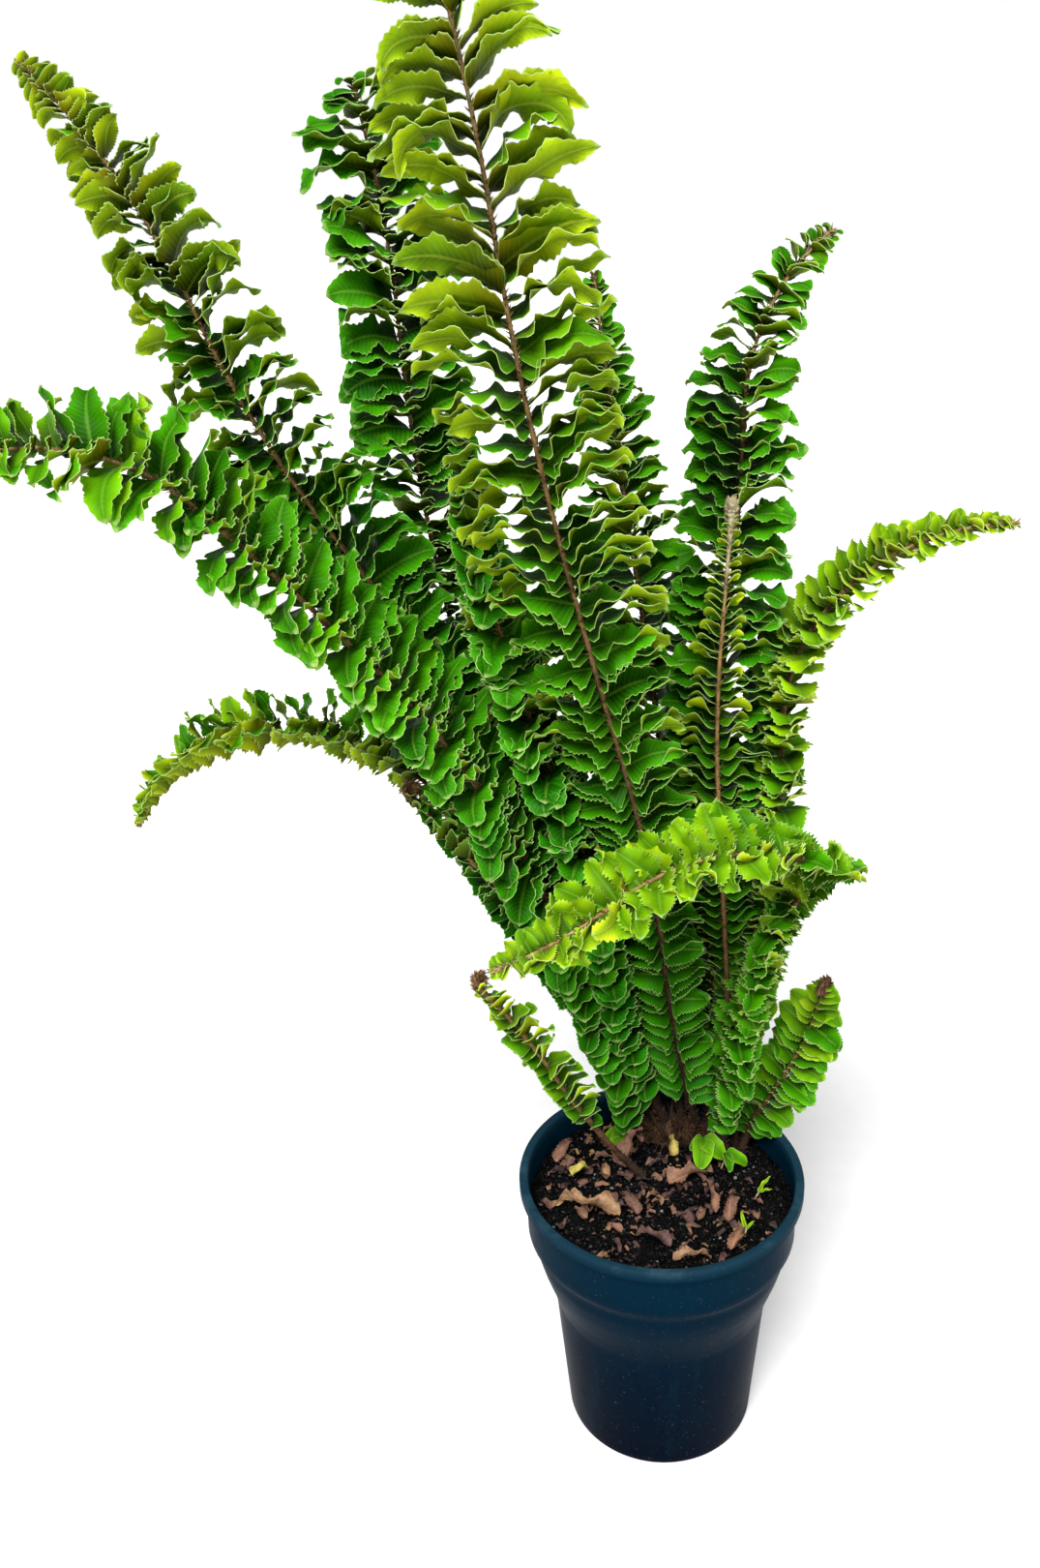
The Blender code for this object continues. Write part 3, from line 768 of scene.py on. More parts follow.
def scale_shapes(centres, along, ring_dir, radius, length, width):
    """Small pointed scales that stand on a rod: each is a thin closed wedge."""
    side = np.cross(along, ring_dir)
    root = centres + ring_dir * (radius * 0.8)[:, None]
    lean = unit(along * 0.75 + ring_dir * 0.65)
    tip = root + lean * length[:, None]
    one = root + side * width[:, None]
    two = root - side * width[:, None]
    low = root + along * (width * 0.9)[:, None] - ring_dir * (width * 0.4)[:, None]
    return np.stack([one, two, low, tip], axis=1)


def wedge_faces(first, count):
    """Faces of wedges with four corners each, counted from the first wedge's first corner."""
    starts = first + 4 * np.arange(count)[:, None]
    return [tuple(row) for corners in WEDGE_FACES for row in (starts + np.array(corners)).tolist()]


def frond_stem(habit, midrib, dice, settings):
    """A frond's stalk and midrib with its scales, and its fiddlehead where it has one."""
    distance = np.arange(-STEM_SINK, midrib.length, STEM_STRIDE)
    place, along, upper, _ = midrib.read(np.maximum(distance, 0.0))
    place = place + along * np.minimum(distance, 0.0)[:, None]
    share = np.clip(distance / midrib.length, 0.0, 1.0)
    foot = 1.0 + 0.5 * np.exp(-distance / 0.012)
    uneven = 1.0 + dice.normal(0, 0.05, len(share))
    radius = settings.stalk_radius * foot * (1.0 - 0.55 * share) * uneven
    youth = np.interp(share, (0.0, 0.15, 0.4, 1.0), (0.03, 0.16, 0.44, 0.70))
    if habit.tip != "leafy":
        more, tangents, uppers = crozier_path(place[-1], along[-1], upper[-1], CROZIER_SIZE[habit.tip],
                                              CROZIER_TURNS)
        place = np.concatenate([place, more[1:]])
        along = np.concatenate([along, tangents[1:]])
        upper = np.concatenate([upper, uppers[1:]])
        grown = np.linspace(1.0, 0.55, len(more) - 1) * settings.stalk_radius * 0.95
        radius[-CROZIER_TAPER:] = np.linspace(radius[-CROZIER_TAPER], grown[0], CROZIER_TAPER)
        radius = np.concatenate([radius, grown])
        tip_youth = CROZIER_YOUTH[habit.tip]
        youth[-CROZIER_FADE:] = np.linspace(youth[-CROZIER_FADE], tip_youth, CROZIER_FADE)
        youth = np.concatenate([youth, np.full(len(more) - 1, tip_youth)])
        share = np.concatenate([share, np.ones(len(more) - 1)])
    points, faces = rod(place, along, upper, radius)
    values = np.repeat(youth, STEM_SIDES)
    count = int(len(place) * settings.scales_per_ring)
    chance = 0.35 + (share > 0.97) * 3.0 + (share < 0.25) * 0.8
    rows = dice.choice(len(place), count, p=chance / chance.sum())
    angle = dice.random(count) * 2 * math.pi
    side = np.cross(along[rows], upper[rows])
    out = upper[rows] * np.cos(angle)[:, None] + side * np.sin(angle)[:, None]
    length = settings.scale_length * (0.5 + dice.random(count))
    wedges = scale_shapes(place[rows], along[rows], out, radius[rows], length, length * 0.20)
    faces += wedge_faces(len(points), count)
    points = np.concatenate([points, wedges.reshape(-1, 3)])
    shades = np.clip(youth[rows] + dice.normal(-0.02, 0.16, count), 0.0, 1.0)
    values = np.concatenate([values, np.repeat(shades, 4)])
    item = make_piece(f"{habit.key}_midrib", points, faces, [stem_material()], smooth_angle=60.0)
    add_point_value(item, "youth", values)
    return item


class FernFrondSettings(bpy.types.PropertyGroup):
    """Sizes shared by all fronds."""
    stalk_radius: bpy.props.FloatProperty(
        name="Stalk Radius", description="Radius of a stalk above its foot", default=0.0017,
        min=0.0003, unit="LENGTH")
    scale_length: bpy.props.FloatProperty(
        name="Scale Length", description="Mean length of the scales on stalks", default=0.0026,
        min=0.0002, unit="LENGTH")
    scales_per_ring: bpy.props.FloatProperty(
        name="Scale Density", description="Scales for each step along a stalk", default=9.0,
        min=0.0)
    seed: bpy.props.IntProperty(
        name="Seed", description="Start of the random draws for leaflets", default=7)


class FERN_OT_add_fronds(bpy.types.Operator):
    """Grow every frond: its scaly midrib and its leaflets"""
    bl_idname = "fern.add_fronds"
    bl_label = "Add Fronds"

    def execute(self, context):
        settings = context.scene.fern_fronds
        for index, habit in enumerate(HABITS):
            dice = np.random.default_rng(settings.seed + index)
            midrib = Midrib(habit.key)
            declare(frond_stem(habit, midrib, dice, settings), "midrib", f"{habit.key}_stem")
            leaflets = leaves_piece(f"{habit.key}_blade", frond_leaflets(habit, midrib, dice),
                                    leaf_materials())
            declare(leaflets, habit.slot, f"{habit.key}_leaflets")
        return {"FINISHED"}


# --- pot ----------------------------------------------------------------------------------------

RIM_BAND = (0.1545, 0.1600)
DRILL_SIDES = 32
DRILL_DEPTH = 0.02


def wall_levels(name):
    """Heights of a turned node's corners with the largest and smallest radius at each."""
    points = node_points(name)
    radius = np.hypot(points[:, 0], points[:, 1])
    level = points[:, 2].round(5)
    heights = np.unique(level)
    outer = np.array([radius[level == height].max() for height in heights])
    inner = np.array([radius[level == height].min() for height in heights])
    return heights, outer, inner


def pot_section():
    """The pot's half section: out along the base, up the outside, over the lip, down inside."""
    heights, outer, inner = wall_levels("pot")
    floor = heights[(inner < 0.9 * outer) & (heights > 0.0)].max()
    outside = np.stack([outer, heights], axis=1)[heights != floor]
    hollow = (heights > floor) & (inner < outer - 0.0008)
    inside = np.stack([inner, heights], axis=1)[hollow][::-1]
    corner = [(outer[heights == floor][0], floor)]
    return np.concatenate([[(0.0, 0.0)], outside, inside, corner, [(0.0, floor)]])


def round_section(section, stride):
    """Add points along a section so that none stand farther apart than the stride."""
    finer = [section[0]]
    for start, end in zip(section[:-1], section[1:]):
        parts = max(1, math.ceil(np.linalg.norm(end - start) / stride))
        finer += [start + (end - start) * part / parts for part in range(1, parts + 1)]
    return np.array(finer)


def around(angle, radius=1.0):
    """Places on a plane, at angles round Z and distances from it."""
    return np.stack([radius * np.cos(angle), radius * np.sin(angle)], axis=1)


def turned(section, steps):
    """Points and faces of a section turned round Z, whose two ends lie on the axis."""
    angle = np.linspace(0.0, 2 * math.pi, steps, endpoint=False)
    ring = section[1:-1]
    flat = ring[:, 0, None, None] * around(angle)[None]
    height = np.broadcast_to(ring[:, 1, None, None], (len(ring), steps, 1))
    points = np.concatenate([flat, height], axis=2).reshape(-1, 3)
    row, column = np.meshgrid(np.arange(len(ring) - 1) * steps, np.arange(steps), indexing="ij")
    after = (column + 1) % steps
    quads = np.stack([row + column, row + after, row + steps + after, row + steps + column], axis=-1)
    faces = [tuple(face) for face in quads.reshape(-1, 4).tolist()]
    low, high = len(points), len(points) + 1
    last = (len(ring) - 1) * steps
    for here in range(steps):
        following = (here + 1) % steps
        faces.append((low, following, here))
        faces.append((last + here, last + following, high))
    ends = [(0.0, 0.0, section[0][1]), (0.0, 0.0, section[-1][1])]
    return np.concatenate([points, ends]), faces


def drill(item, places, radius):
    """Cut upright round holes through a piece."""
    scene = bpy.context.scene
    cutters = []
    for place in places:
        mesh = bpy.data.meshes.new("drill")
        shape = bmesh.new()
        bmesh.ops.create_cone(shape, cap_ends=True, segments=DRILL_SIDES, radius1=radius,
                              radius2=radius, depth=DRILL_DEPTH)
        shape.to_mesh(mesh)
        shape.free()
        cutter = bpy.data.objects.new("drill", mesh)
        cutter.location = (*place, 0.0)
        scene.collection.objects.link(cutter)
        cutters.append(cutter)
        cut = item.modifiers.new("Drain", "BOOLEAN")
        cut.object = cutter
    bpy.context.view_layer.update()
    shaped = item.evaluated_get(bpy.context.evaluated_depsgraph_get())
    whole = item.data
    item.data = bpy.data.meshes.new_from_object(shaped)
    item.modifiers.clear()
    bpy.data.meshes.remove(whole)
    for cutter in cutters:
        bpy.data.meshes.remove(cutter.data)


def pot_material():
    """Dark blue moulded plastic with dust, scuffs and a rubbed rim, with painted shade that darkens it
    towards the bottom.
    """
    material, shader, shade = new_material("pot_plastic", 0.4, 0.008)
    space = shade.object_space()
    split = shade.node("ShaderNodeSeparateXYZ")
    shade.feed(split.inputs[0], space)
    height = split.outputs[2]
    # Painted shade: the plastic's colour runs from darkest at the bottom to lightest at the rim, as light
    # from above falls on the pot.
    body = shade.ramp(shade.band(height, 0.0, RIM_BAND[1]),
                      ((0.0, (0.0002, 0.0018, 0.0064)), (0.40, (0.0003, 0.0048, 0.0125)),
                       (0.80, (0.0005, 0.0100, 0.0215)), (1.0, (0.0008, 0.0145, 0.0285))))
    stretch = shade.node("ShaderNodeMapping")
    shade.feed(stretch.inputs["Vector"], space)
    stretch.inputs["Scale"].default_value = (1.0, 1.0, 0.16)
    streaks = shade.band(shade.noise(stretch.outputs[0], 70.0, 5.0, 0.7), 0.54, 0.80)
    dust = shade.band(shade.noise(space, 26.0, 6.0, 0.72), 0.50, 0.78)
    speckle = shade.band(shade.noise(space, 620.0, 2.0, 0.5), 0.66, 0.76)
    streaked = shade.dab(streaks, 0.16, body, (0.004, 0.035, 0.060, 1))
    dusty = shade.dab(dust, 0.07, streaked, (0.010, 0.042, 0.065, 1))
    specked = shade.dab(speckle, 0.24, dusty, (0.09, 0.11, 0.12, 1))
    rim = shade.band(height, *RIM_BAND)
    rubbed = shade.math("MULTIPLY", rim, shade.band(dust, 0.0, 0.5, 0.35, 1.0))
    shade.feed(shader.inputs["Base Color"], shade.dab(rubbed, 0.35, specked, (0.055, 0.120, 0.160, 1)))
    shade.feed(shader.inputs["Roughness"], shade.band(dust, 0.0, 1.0, 0.34, 0.52))
    relief = shade.math("ADD", shade.noise(space, 900.0, 2.0), shade.math("MULTIPLY", streaks, 0.6))
    shade.feed(shader.inputs["Normal"], shade.bump(relief, 0.22, 0.0002))
    return material


class FernPotSettings(bpy.types.PropertyGroup):
    """The fineness of the pot and its drain holes."""
    steps: bpy.props.IntProperty(
        name="Steps", description="Corners round the pot", default=240, min=24)
    stride: bpy.props.FloatProperty(
        name="Stride", description="Largest step along the pot's section", default=0.004, min=0.001,
        unit="LENGTH")
    drain_circle: bpy.props.FloatProperty(
        name="Drain Circle", description="Distance of the drain holes from the axis", default=0.036,
        min=0.0, unit="LENGTH")
    drain_radius: bpy.props.FloatProperty(
        name="Drain Radius", description="Radius of a drain hole", default=0.0045, min=0.001,
        unit="LENGTH")
    drain_count: bpy.props.IntProperty(
        name="Drain Holes", description="How many drain holes the base has", default=6, min=0)


class FERN_OT_add_pot(bpy.types.Operator):
    """Turn the nursery pot and drill its drain holes"""
    bl_idname = "fern.add_pot"
    bl_label = "Add Pot"

    def execute(self, context):
        settings = context.scene.fern_pot
        points, faces = turned(round_section(pot_section(), settings.stride), settings.steps)
        pot = make_piece("pot_shell", points, faces, [pot_material()], smooth_angle=None)
        angle = np.linspace(0.0, 2 * math.pi, settings.drain_count, endpoint=False)
        holes = around(angle, settings.drain_circle)
        drill(pot, holes.tolist(), settings.drain_radius)
        pot.data.set_sharp_from_angle(angle=math.radians(40.0))
        declare(pot, "pot_plastic", "pot")
        return {"FINISHED"}


# --- soil and crown -----------------------------------------------------------------------------

SOIL_SEED, GRAIN_SEED, CROWN_SEED = 31, 32, 41
GRAIN_REACH = 0.0655
SOIL_DIP = 0.0012
EDGE_START, EDGE_WIDTH = 0.050, 0.016


def soil_material():
    """Nearly black damp peat with brown crumbs and painted glints."""
    material, shader, shade = new_material("peat", 0.8, 0.02)
    space = shade.object_space()
    grain = place_group(shade, mottle_group(), Tone=(0.0006, 0.0007, 0.0009, 1),
                        Other_Tone=(0.0040, 0.0038, 0.0040, 1), Coarse=160.0, Fine=1400.0)
    # Painted highlight: tiny pale specks in the colour stand in for glints of light on the wet grains.
    painted_glint = shade.band(shade.noise(space, 1900.0, 1.0, 0.4), 0.68, 0.74)
    tone = shade.attribute("tone")
    stone = shade.ramp(tone, ((0.0, (0.003, 0.003, 0.003)), (0.60, (0.010, 0.008, 0.008)),
                              (0.84, (0.040, 0.030, 0.026)), (0.95, (0.075, 0.085, 0.080)),
                              (1.0, (0.22, 0.23, 0.21))))
    base = shade.mix(shade.band(tone, 0.0, 0.05), grain["Color"], stone)
    shade.feed(shader.inputs["Base Color"], shade.dab(painted_glint, 0.5, base, (0.17, 0.18, 0.16, 1)))
    shade.feed(shader.inputs["Roughness"], shade.band(grain["Mask"], 0.0, 1.0, 0.55, 0.95))
    shade.feed(shader.inputs["Normal"], shade.bump(grain["Height"], 0.9, 0.0012))
    return material


LUMP_WAVES = 24


def lumps(points, dice, scale):
    """Smooth uneven heights between about -1 and 1 at places on a plane."""
    heading = dice.random(LUMP_WAVES) * 2 * math.pi
    pace = (0.5 + dice.random(LUMP_WAVES) * 1.6) * scale
    phase = dice.random(LUMP_WAVES) * 2 * math.pi
    turn = points[:, 0, None] * np.cos(heading) * pace + points[:, 1, None] * np.sin(heading) * pace
    return np.sin(turn + phase).sum(axis=1) / math.sqrt(LUMP_WAVES)


def soil_height(points, level):
    """Height of the soil's uneven top at places on it."""
    dice = np.random.default_rng(SOIL_SEED)
    swell = lumps(points, dice, 130.0) * 0.0009
    clods = np.clip(lumps(points, dice, 620.0), -1.2, 1.6) * 0.0008
    crumbs = lumps(points, dice, 2300.0) * 0.00035
    edge = np.clip((np.hypot(points[:, 0], points[:, 1]) - EDGE_START) / EDGE_WIDTH, 0.0, 1.0)
    return level - SOIL_DIP + swell + clods + crumbs + SOIL_DIP * edge ** 2


def soil_body(settings):
    """The soil as one closed body with an uneven top."""
    heights, outer, _ = wall_levels("potting_soil")
    level = heights[-1]
    reach = outer[-1]
    rings = np.linspace(reach, 0.0, settings.rings, endpoint=False)[::-1]
    wall = np.stack([outer, heights], axis=1)[:-1]
    inward = np.stack([rings[::-1][1:], np.full(len(rings) - 1, level)], axis=1)
    section = np.concatenate([[(0.0, heights[0])], wall, [(reach, level)], inward, [(0.0, level)]])
    points, faces = turned(section, settings.steps)
    top = points[:, 2] > level - 1e-6
    points[top, 2] = soil_height(points[top], level)
    return points, faces, level


STONE = np.array([(1, 0, 0), (-1, 0, 0), (0, 1, 0), (0, -1, 0), (0, 0, 1), (0, 0, -1)], dtype=float)
STONE_FACES = np.array([(0, 2, 4), (2, 1, 4), (1, 3, 4), (3, 0, 4),
                        (2, 0, 5), (1, 2, 5), (3, 1, 5), (0, 3, 5)])


def soil_grains(settings, level):
    """Loose crumbs and grit on the soil: small uneven stones."""
    dice = np.random.default_rng(GRAIN_SEED)
    count = settings.grains
    radius = GRAIN_REACH * np.sqrt(dice.random(count))
    angle = dice.random(count) * 2 * math.pi
    place = around(angle, radius)
    size = settings.grain_size * (0.35 + dice.random(count) ** 3 * 1.9)
    height = soil_height(place, level) + size * 0.25
    shape = STONE[None] * (0.6 + 0.7 * dice.random((count, 6, 3)))
    spin = dice.random(count) * 2 * math.pi
    turned_x = shape[..., 0] * np.cos(spin)[:, None] - shape[..., 1] * np.sin(spin)[:, None]
    turned_y = shape[..., 0] * np.sin(spin)[:, None] + shape[..., 1] * np.cos(spin)[:, None]
    shape = np.stack([turned_x, turned_y, shape[..., 2] * 0.8], axis=-1) * size[:, None, None]
    points = shape + np.concatenate([place, height[:, None]], axis=1)[:, None]
    faces = STONE_FACES[None] + 6 * np.arange(count)[:, None, None]
    tone = 0.06 + 0.94 * dice.random(count) ** 1.3
    return points.reshape(-1, 3), faces.reshape(-1, 3), np.repeat(tone, 6)


class FernSoilSettings(bpy.types.PropertyGroup):
    """The soil's top and its crumbs."""
    steps: bpy.props.IntProperty(
        name="Steps", description="Corners round the soil", default=200, min=24)
    rings: bpy.props.IntProperty(
        name="Rings", description="Rings across the soil's top", default=90, min=8)
    grains: bpy.props.IntProperty(
        name="Crumbs", description="How many loose crumbs", default=5200, min=0)
    grain_size: bpy.props.FloatProperty(
        name="Crumb Size", description="Usual radius of a crumb", default=0.0006, min=0.0001,
        unit="LENGTH")


class FERN_OT_add_soil(bpy.types.Operator):
    """Fill the pot with soil and strew crumbs over it"""
    bl_idname = "fern.add_soil"
    bl_label = "Add Soil"

    def execute(self, context):
        settings = context.scene.fern_soil
        points, faces, level = soil_body(settings)
        peat = soil_material()
        soil = make_piece("soil_body", points, faces, [peat], smooth_angle=70.0)
        add_point_value(soil, "tone", np.zeros(len(points)))
        declare(soil, "potting_soil", "potting_soil")
        points, faces, tone = soil_grains(settings, level)
        grains = make_piece("soil_crumbs", points, faces, [peat], smooth_angle=30.0)
        add_point_value(grains, "tone", tone)
        declare(grains, "potting_soil")
        return {"FINISHED"}


BENT_STEPS = 9
SKYWARD = np.array([0.0, 0.0, 1.0])


def bent_rods(starts, headings, length, radius, rise, fall):
    """Thin tapering rods that leave their starts, rise and then fall."""
    points, faces = [], []
    for start, heading, reach, thick, up, down in zip(starts, headings, length, radius, rise, fall):
        share = np.linspace(0.0, 1.0, BENT_STEPS)
        out = np.array([math.cos(heading), math.sin(heading), 0.0])
        tilt = np.radians(up - down * share)
        along = out[None] * np.cos(tilt)[:, None] + SKYWARD[None] * np.sin(tilt)[:, None]
        centres = start + np.cumsum(along, axis=0) * (reach / BENT_STEPS)
        upper = np.cross(np.cross(along, out + SKYWARD * 1.3), along)
        rods, sides = rod(centres, along, unit(upper), thick * (1.0 - 0.7 * share))
        base = len(points) * len(rods)
        points.append(rods)
        faces += [tuple(corner + base for corner in face) for face in sides]
    return np.concatenate(points), faces


class FernCrownSettings(bpy.types.PropertyGroup):
    """The scales, old stubs and fibers of the crown."""
    scales: bpy.props.IntProperty(
        name="Scales", description="Scales on the crown", default=900, min=0)
    scale_length: bpy.props.FloatProperty(
        name="Scale Length", description="Length of a scale", default=0.0042, min=0.0005,
        unit="LENGTH")
    stubs: bpy.props.IntProperty(
        name="Old Stubs", description="Stubs of fronds cut away", default=16, min=1)
    fibers: bpy.props.IntProperty(
        name="Fibers", description="Dry fibers round the crown", default=46, min=1)


class FERN_OT_add_crown(bpy.types.Operator):
    """Shape the scaly crown with its old stubs and dry fibers"""
    bl_idname = "fern.add_crown"
    bl_label = "Add Crown"

    def execute(self, context):
        settings = context.scene.fern_crown
        dice = np.random.default_rng(CROWN_SEED)
        corners = node_points("crown")
        middle = (corners.min(axis=0) + corners.max(axis=0)) / 2.0
        middle[2] = corners[:, 2].min()
        reach = corners.max(axis=0) - middle
        shape = bmesh.new()
        bmesh.ops.create_icosphere(shape, subdivisions=5, radius=1.0)
        faces = [tuple(vert.index for vert in face.verts) for face in shape.faces]
        ball = np.array([tuple(vert.co) for vert in shape.verts])
        shape.free()
        bumps = 1.0 + 0.10 * lumps(ball, dice, 5.0) + 0.05 * lumps(ball[:, 1:], dice, 14.0)
        points = middle + ball * bumps[:, None] * reach * (1.0, 1.0, 0.95)
        count = settings.scales
        heading = dice.random(count) * 2 * math.pi
        height = dice.random(count) ** 0.8
        flat = np.sqrt(1.0 - height ** 2)
        out = unit(np.stack([flat * np.cos(heading), flat * np.sin(heading), height], axis=1))
        along = unit(np.cross(np.cross(out, SKYWARD) + 1e-6, out) + dice.normal(0, 0.4, (count, 3)))
        length = settings.scale_length * (0.5 + dice.random(count))
        wedges = scale_shapes(middle + out * reach, along, out, np.zeros(count), length, length * 0.14)
        faces += wedge_faces(len(points), count)
        points = np.concatenate([points, wedges.reshape(-1, 3)])
        youth = np.concatenate([0.03 + 0.08 * dice.random(len(ball)),
                                np.repeat(0.05 + 0.3 * dice.random(count), 4)])
        crown = make_piece("crown_mound", points, faces, [stem_material()], smooth_angle=40.0)
        add_point_value(crown, "youth", youth)
        declare(crown, "crown_scales", "crown")
        self.add_strands("old_stubs", dice, middle, reach, settings.stubs,
                         (0.007, 0.016), (0.0010, 0.0017), (55, 88), (0, 25), 0.06)
        self.add_strands("dry_fibers", dice, middle, reach * 1.25, settings.fibers,
                         (0.010, 0.024), (0.00018, 0.00035), (10, 70), (40, 130), 0.24)
        return {"FINISHED"}

    @staticmethod
    def add_strands(name, dice, middle, reach, count, length, radius, rise, fall, youth):
        """Add strands that stand on the crown; each range gives the least and the most."""
        heading = dice.random(count) * 2 * math.pi
        share = np.sqrt(dice.random(count)) * 0.95
        place = middle + reach * np.stack([share * np.cos(heading), share * np.sin(heading),
                                           0.7 * np.sqrt(1.0 - share ** 2)], axis=1)
        points, faces = bent_rods(
            place, heading + dice.normal(0, 0.5, count),
            *(dice.uniform(*limits, count) for limits in (length, radius, rise, fall)))
        item = make_piece(name, points, faces, [stem_material()], smooth_angle=60.0)
        add_point_value(item, "youth", np.full(len(points), youth))
        declare(item, "crown_scales")


# --- fallen leaves and young leaves -------------------------------------------------------------

LITTER_SEED, SPROUT_SEED = 51, 61
BIT_REACH = 0.060
STALK_STEPS = 10


def dried_materials():
    """Crisp dead leaf, from mauve brown to yellow: face, underside and rim."""
    if "dead_leaf" in bpy.data.materials:
        return [bpy.data.materials["dead_leaf"]] * 3
    material, shader, shade = new_material("dead_leaf", 0.6, 0.35)
    youth = shade.attribute("youth")
    marks = place_group(shade, vein_group(), Veins=9.0)
    speck = place_group(shade, mottle_group(), Coarse=150.0, Fine=700.0)
    base = shade.ramp(youth, ((0.0, (0.050, 0.026, 0.026)), (0.25, (0.15, 0.078, 0.062)),
                              (0.50, (0.34, 0.175, 0.105)), (0.75, (0.40, 0.26, 0.090)),
                              (1.0, (0.62, 0.54, 0.11))))
    mixed = shade.dab(speck["Mask"], 0.75, base, shade.tint(base, (0.24, 0.20, 0.22, 1)))
    ribbed = shade.dab(marks["Midrib"], 0.5, mixed, shade.tint(base, (1.5, 1.4, 1.2, 1)))
    shade.feed(shader.inputs["Base Color"], ribbed)
    shade.feed(shader.inputs["Roughness"], shade.band(speck["Mask"], 0.0, 1.0, 0.42, 0.75))
    height = shade.math("ADD", shade.math("MULTIPLY", marks["Height"], 0.6), speck["Height"])
    shade.feed(shader.inputs["Normal"], shade.bump(height, 0.9, 0.0006))
    return [material] * 3


def leaf_pose(name):
    """A single leaf node's stem end, its axis, the direction it faces, its length and its width."""
    points = node_points(name)
    middle = points.mean(axis=0)
    axes = np.linalg.svd(points - middle)[2]
    axis, face = axes[0], axes[2]
    if face[2] < 0.0:
        face = -face
    spread = (points - middle) @ axes.T
    length, width = np.ptp(spread[:, 0]), np.ptp(spread[:, 1])
    if axis[2] < 0.0:
        axis = -axis
    return middle - axis * length / 2.0, axis, face, length, width


class DriedLeaf(NamedTuple):
    """How one fallen leaf has dried: its color from 0 mauve brown to 1 yellow, and its curls.

    broad is its half width as a share of its CAD node's width.
    """
    node: str
    color: float
    rise: float
    droop: float
    curl: float
    cup: float
    ruffle: float
    broad: float = 0.55


DRIED_LEAVES = (
    DriedLeaf("dried_leaf_gold", 0.60, 20, 50, 60, 0.9, 0.0038, 0.62),
    DriedLeaf("dried_leaf_tan", 0.50, 22, 60, -70, 0.6, 0.0028, 0.75),
    DriedLeaf("dried_leaf_yellow", 0.98, 30, 120, 40, 1.2, 0.0012),
    DriedLeaf("dried_leaf_left", 0.42, 25, 70, 80, 0.9, 0.0016),
    DriedLeaf("dried_leaf_middle", 0.30, 30, 90, -90, 0.9, 0.0018),
    DriedLeaf("dried_leaf_strip", 0.46, 20, 50, 140, 1.1, 0.0010),
    DriedLeaf("dried_leaf_right", 0.44, 34, 80, 100, 1.0, 0.0018),
    DriedLeaf("dried_leaf_front", 0.55, 16, 60, -50, 0.8, 0.0016),
    DriedLeaf("dried_leaf_mauve", 0.22, 28, 90, 90, 1.0, 0.0018),
    DriedLeaf("dried_leaf_curl", 0.52, 30, 150, 60, 1.2, 0.0014),
    DriedLeaf("dried_leaf_crown", 0.44, 55, 60, -80, 0.8, 0.0028, 0.80),
    DriedLeaf("dried_leaf_pale", 0.88, 50, 80, 50, 0.9, 0.0012),
)


def single_leaves(place, axis, normal, length, width, dice, **looks):
    """Leaves that don't belong to a frond; looks gives the values that aren't the usual ones."""
    count = len(length)
    values = dict(
        place=place, axis=axis, normal=normal, tipward=np.cross(axis, normal), hand=-np.ones(count),
        length=length, width=width, rise=np.zeros(count), droop=np.zeros(count), curl=np.zeros(count),
        cup=np.full(count, 0.2), ruffle=np.zeros(count), waves=1.5 + dice.random(count),
        phase=dice.random(count), teeth=np.full(count, 0.06), point=np.full(count, 0.5),
        ear=np.zeros(count), base=np.full(count, 0.2), youth=np.full(count, 0.5),
        tone=dice.random(count))
    values.update(looks)
    return Leaflets(**values)


# Middle of each heap of bits on the soil, and how far its bits scatter.
CRUMB_HEAPS = (
    (-0.034, 0.004, 0.017), (-0.046, 0.022, 0.012), (-0.018, -0.024, 0.016), (0.004, 0.006, 0.018),
    (0.024, 0.008, 0.011), (0.018, -0.040, 0.014), (-0.030, -0.034, 0.012), (0.038, -0.018, 0.010),
    (0.000, 0.030, 0.018), (-0.020, 0.040, 0.014),
)


class FernLitterSettings(bpy.types.PropertyGroup):
    """The small bits of dead leaf on the soil."""
    crumbs: bpy.props.IntProperty(
        name="Bits", description="How many small bits of leaf", default=260, min=1)
    crumb_length: bpy.props.FloatProperty(
        name="Bit Length", description="Usual length of a bit of leaf", default=0.0062, min=0.001,
        unit="LENGTH")


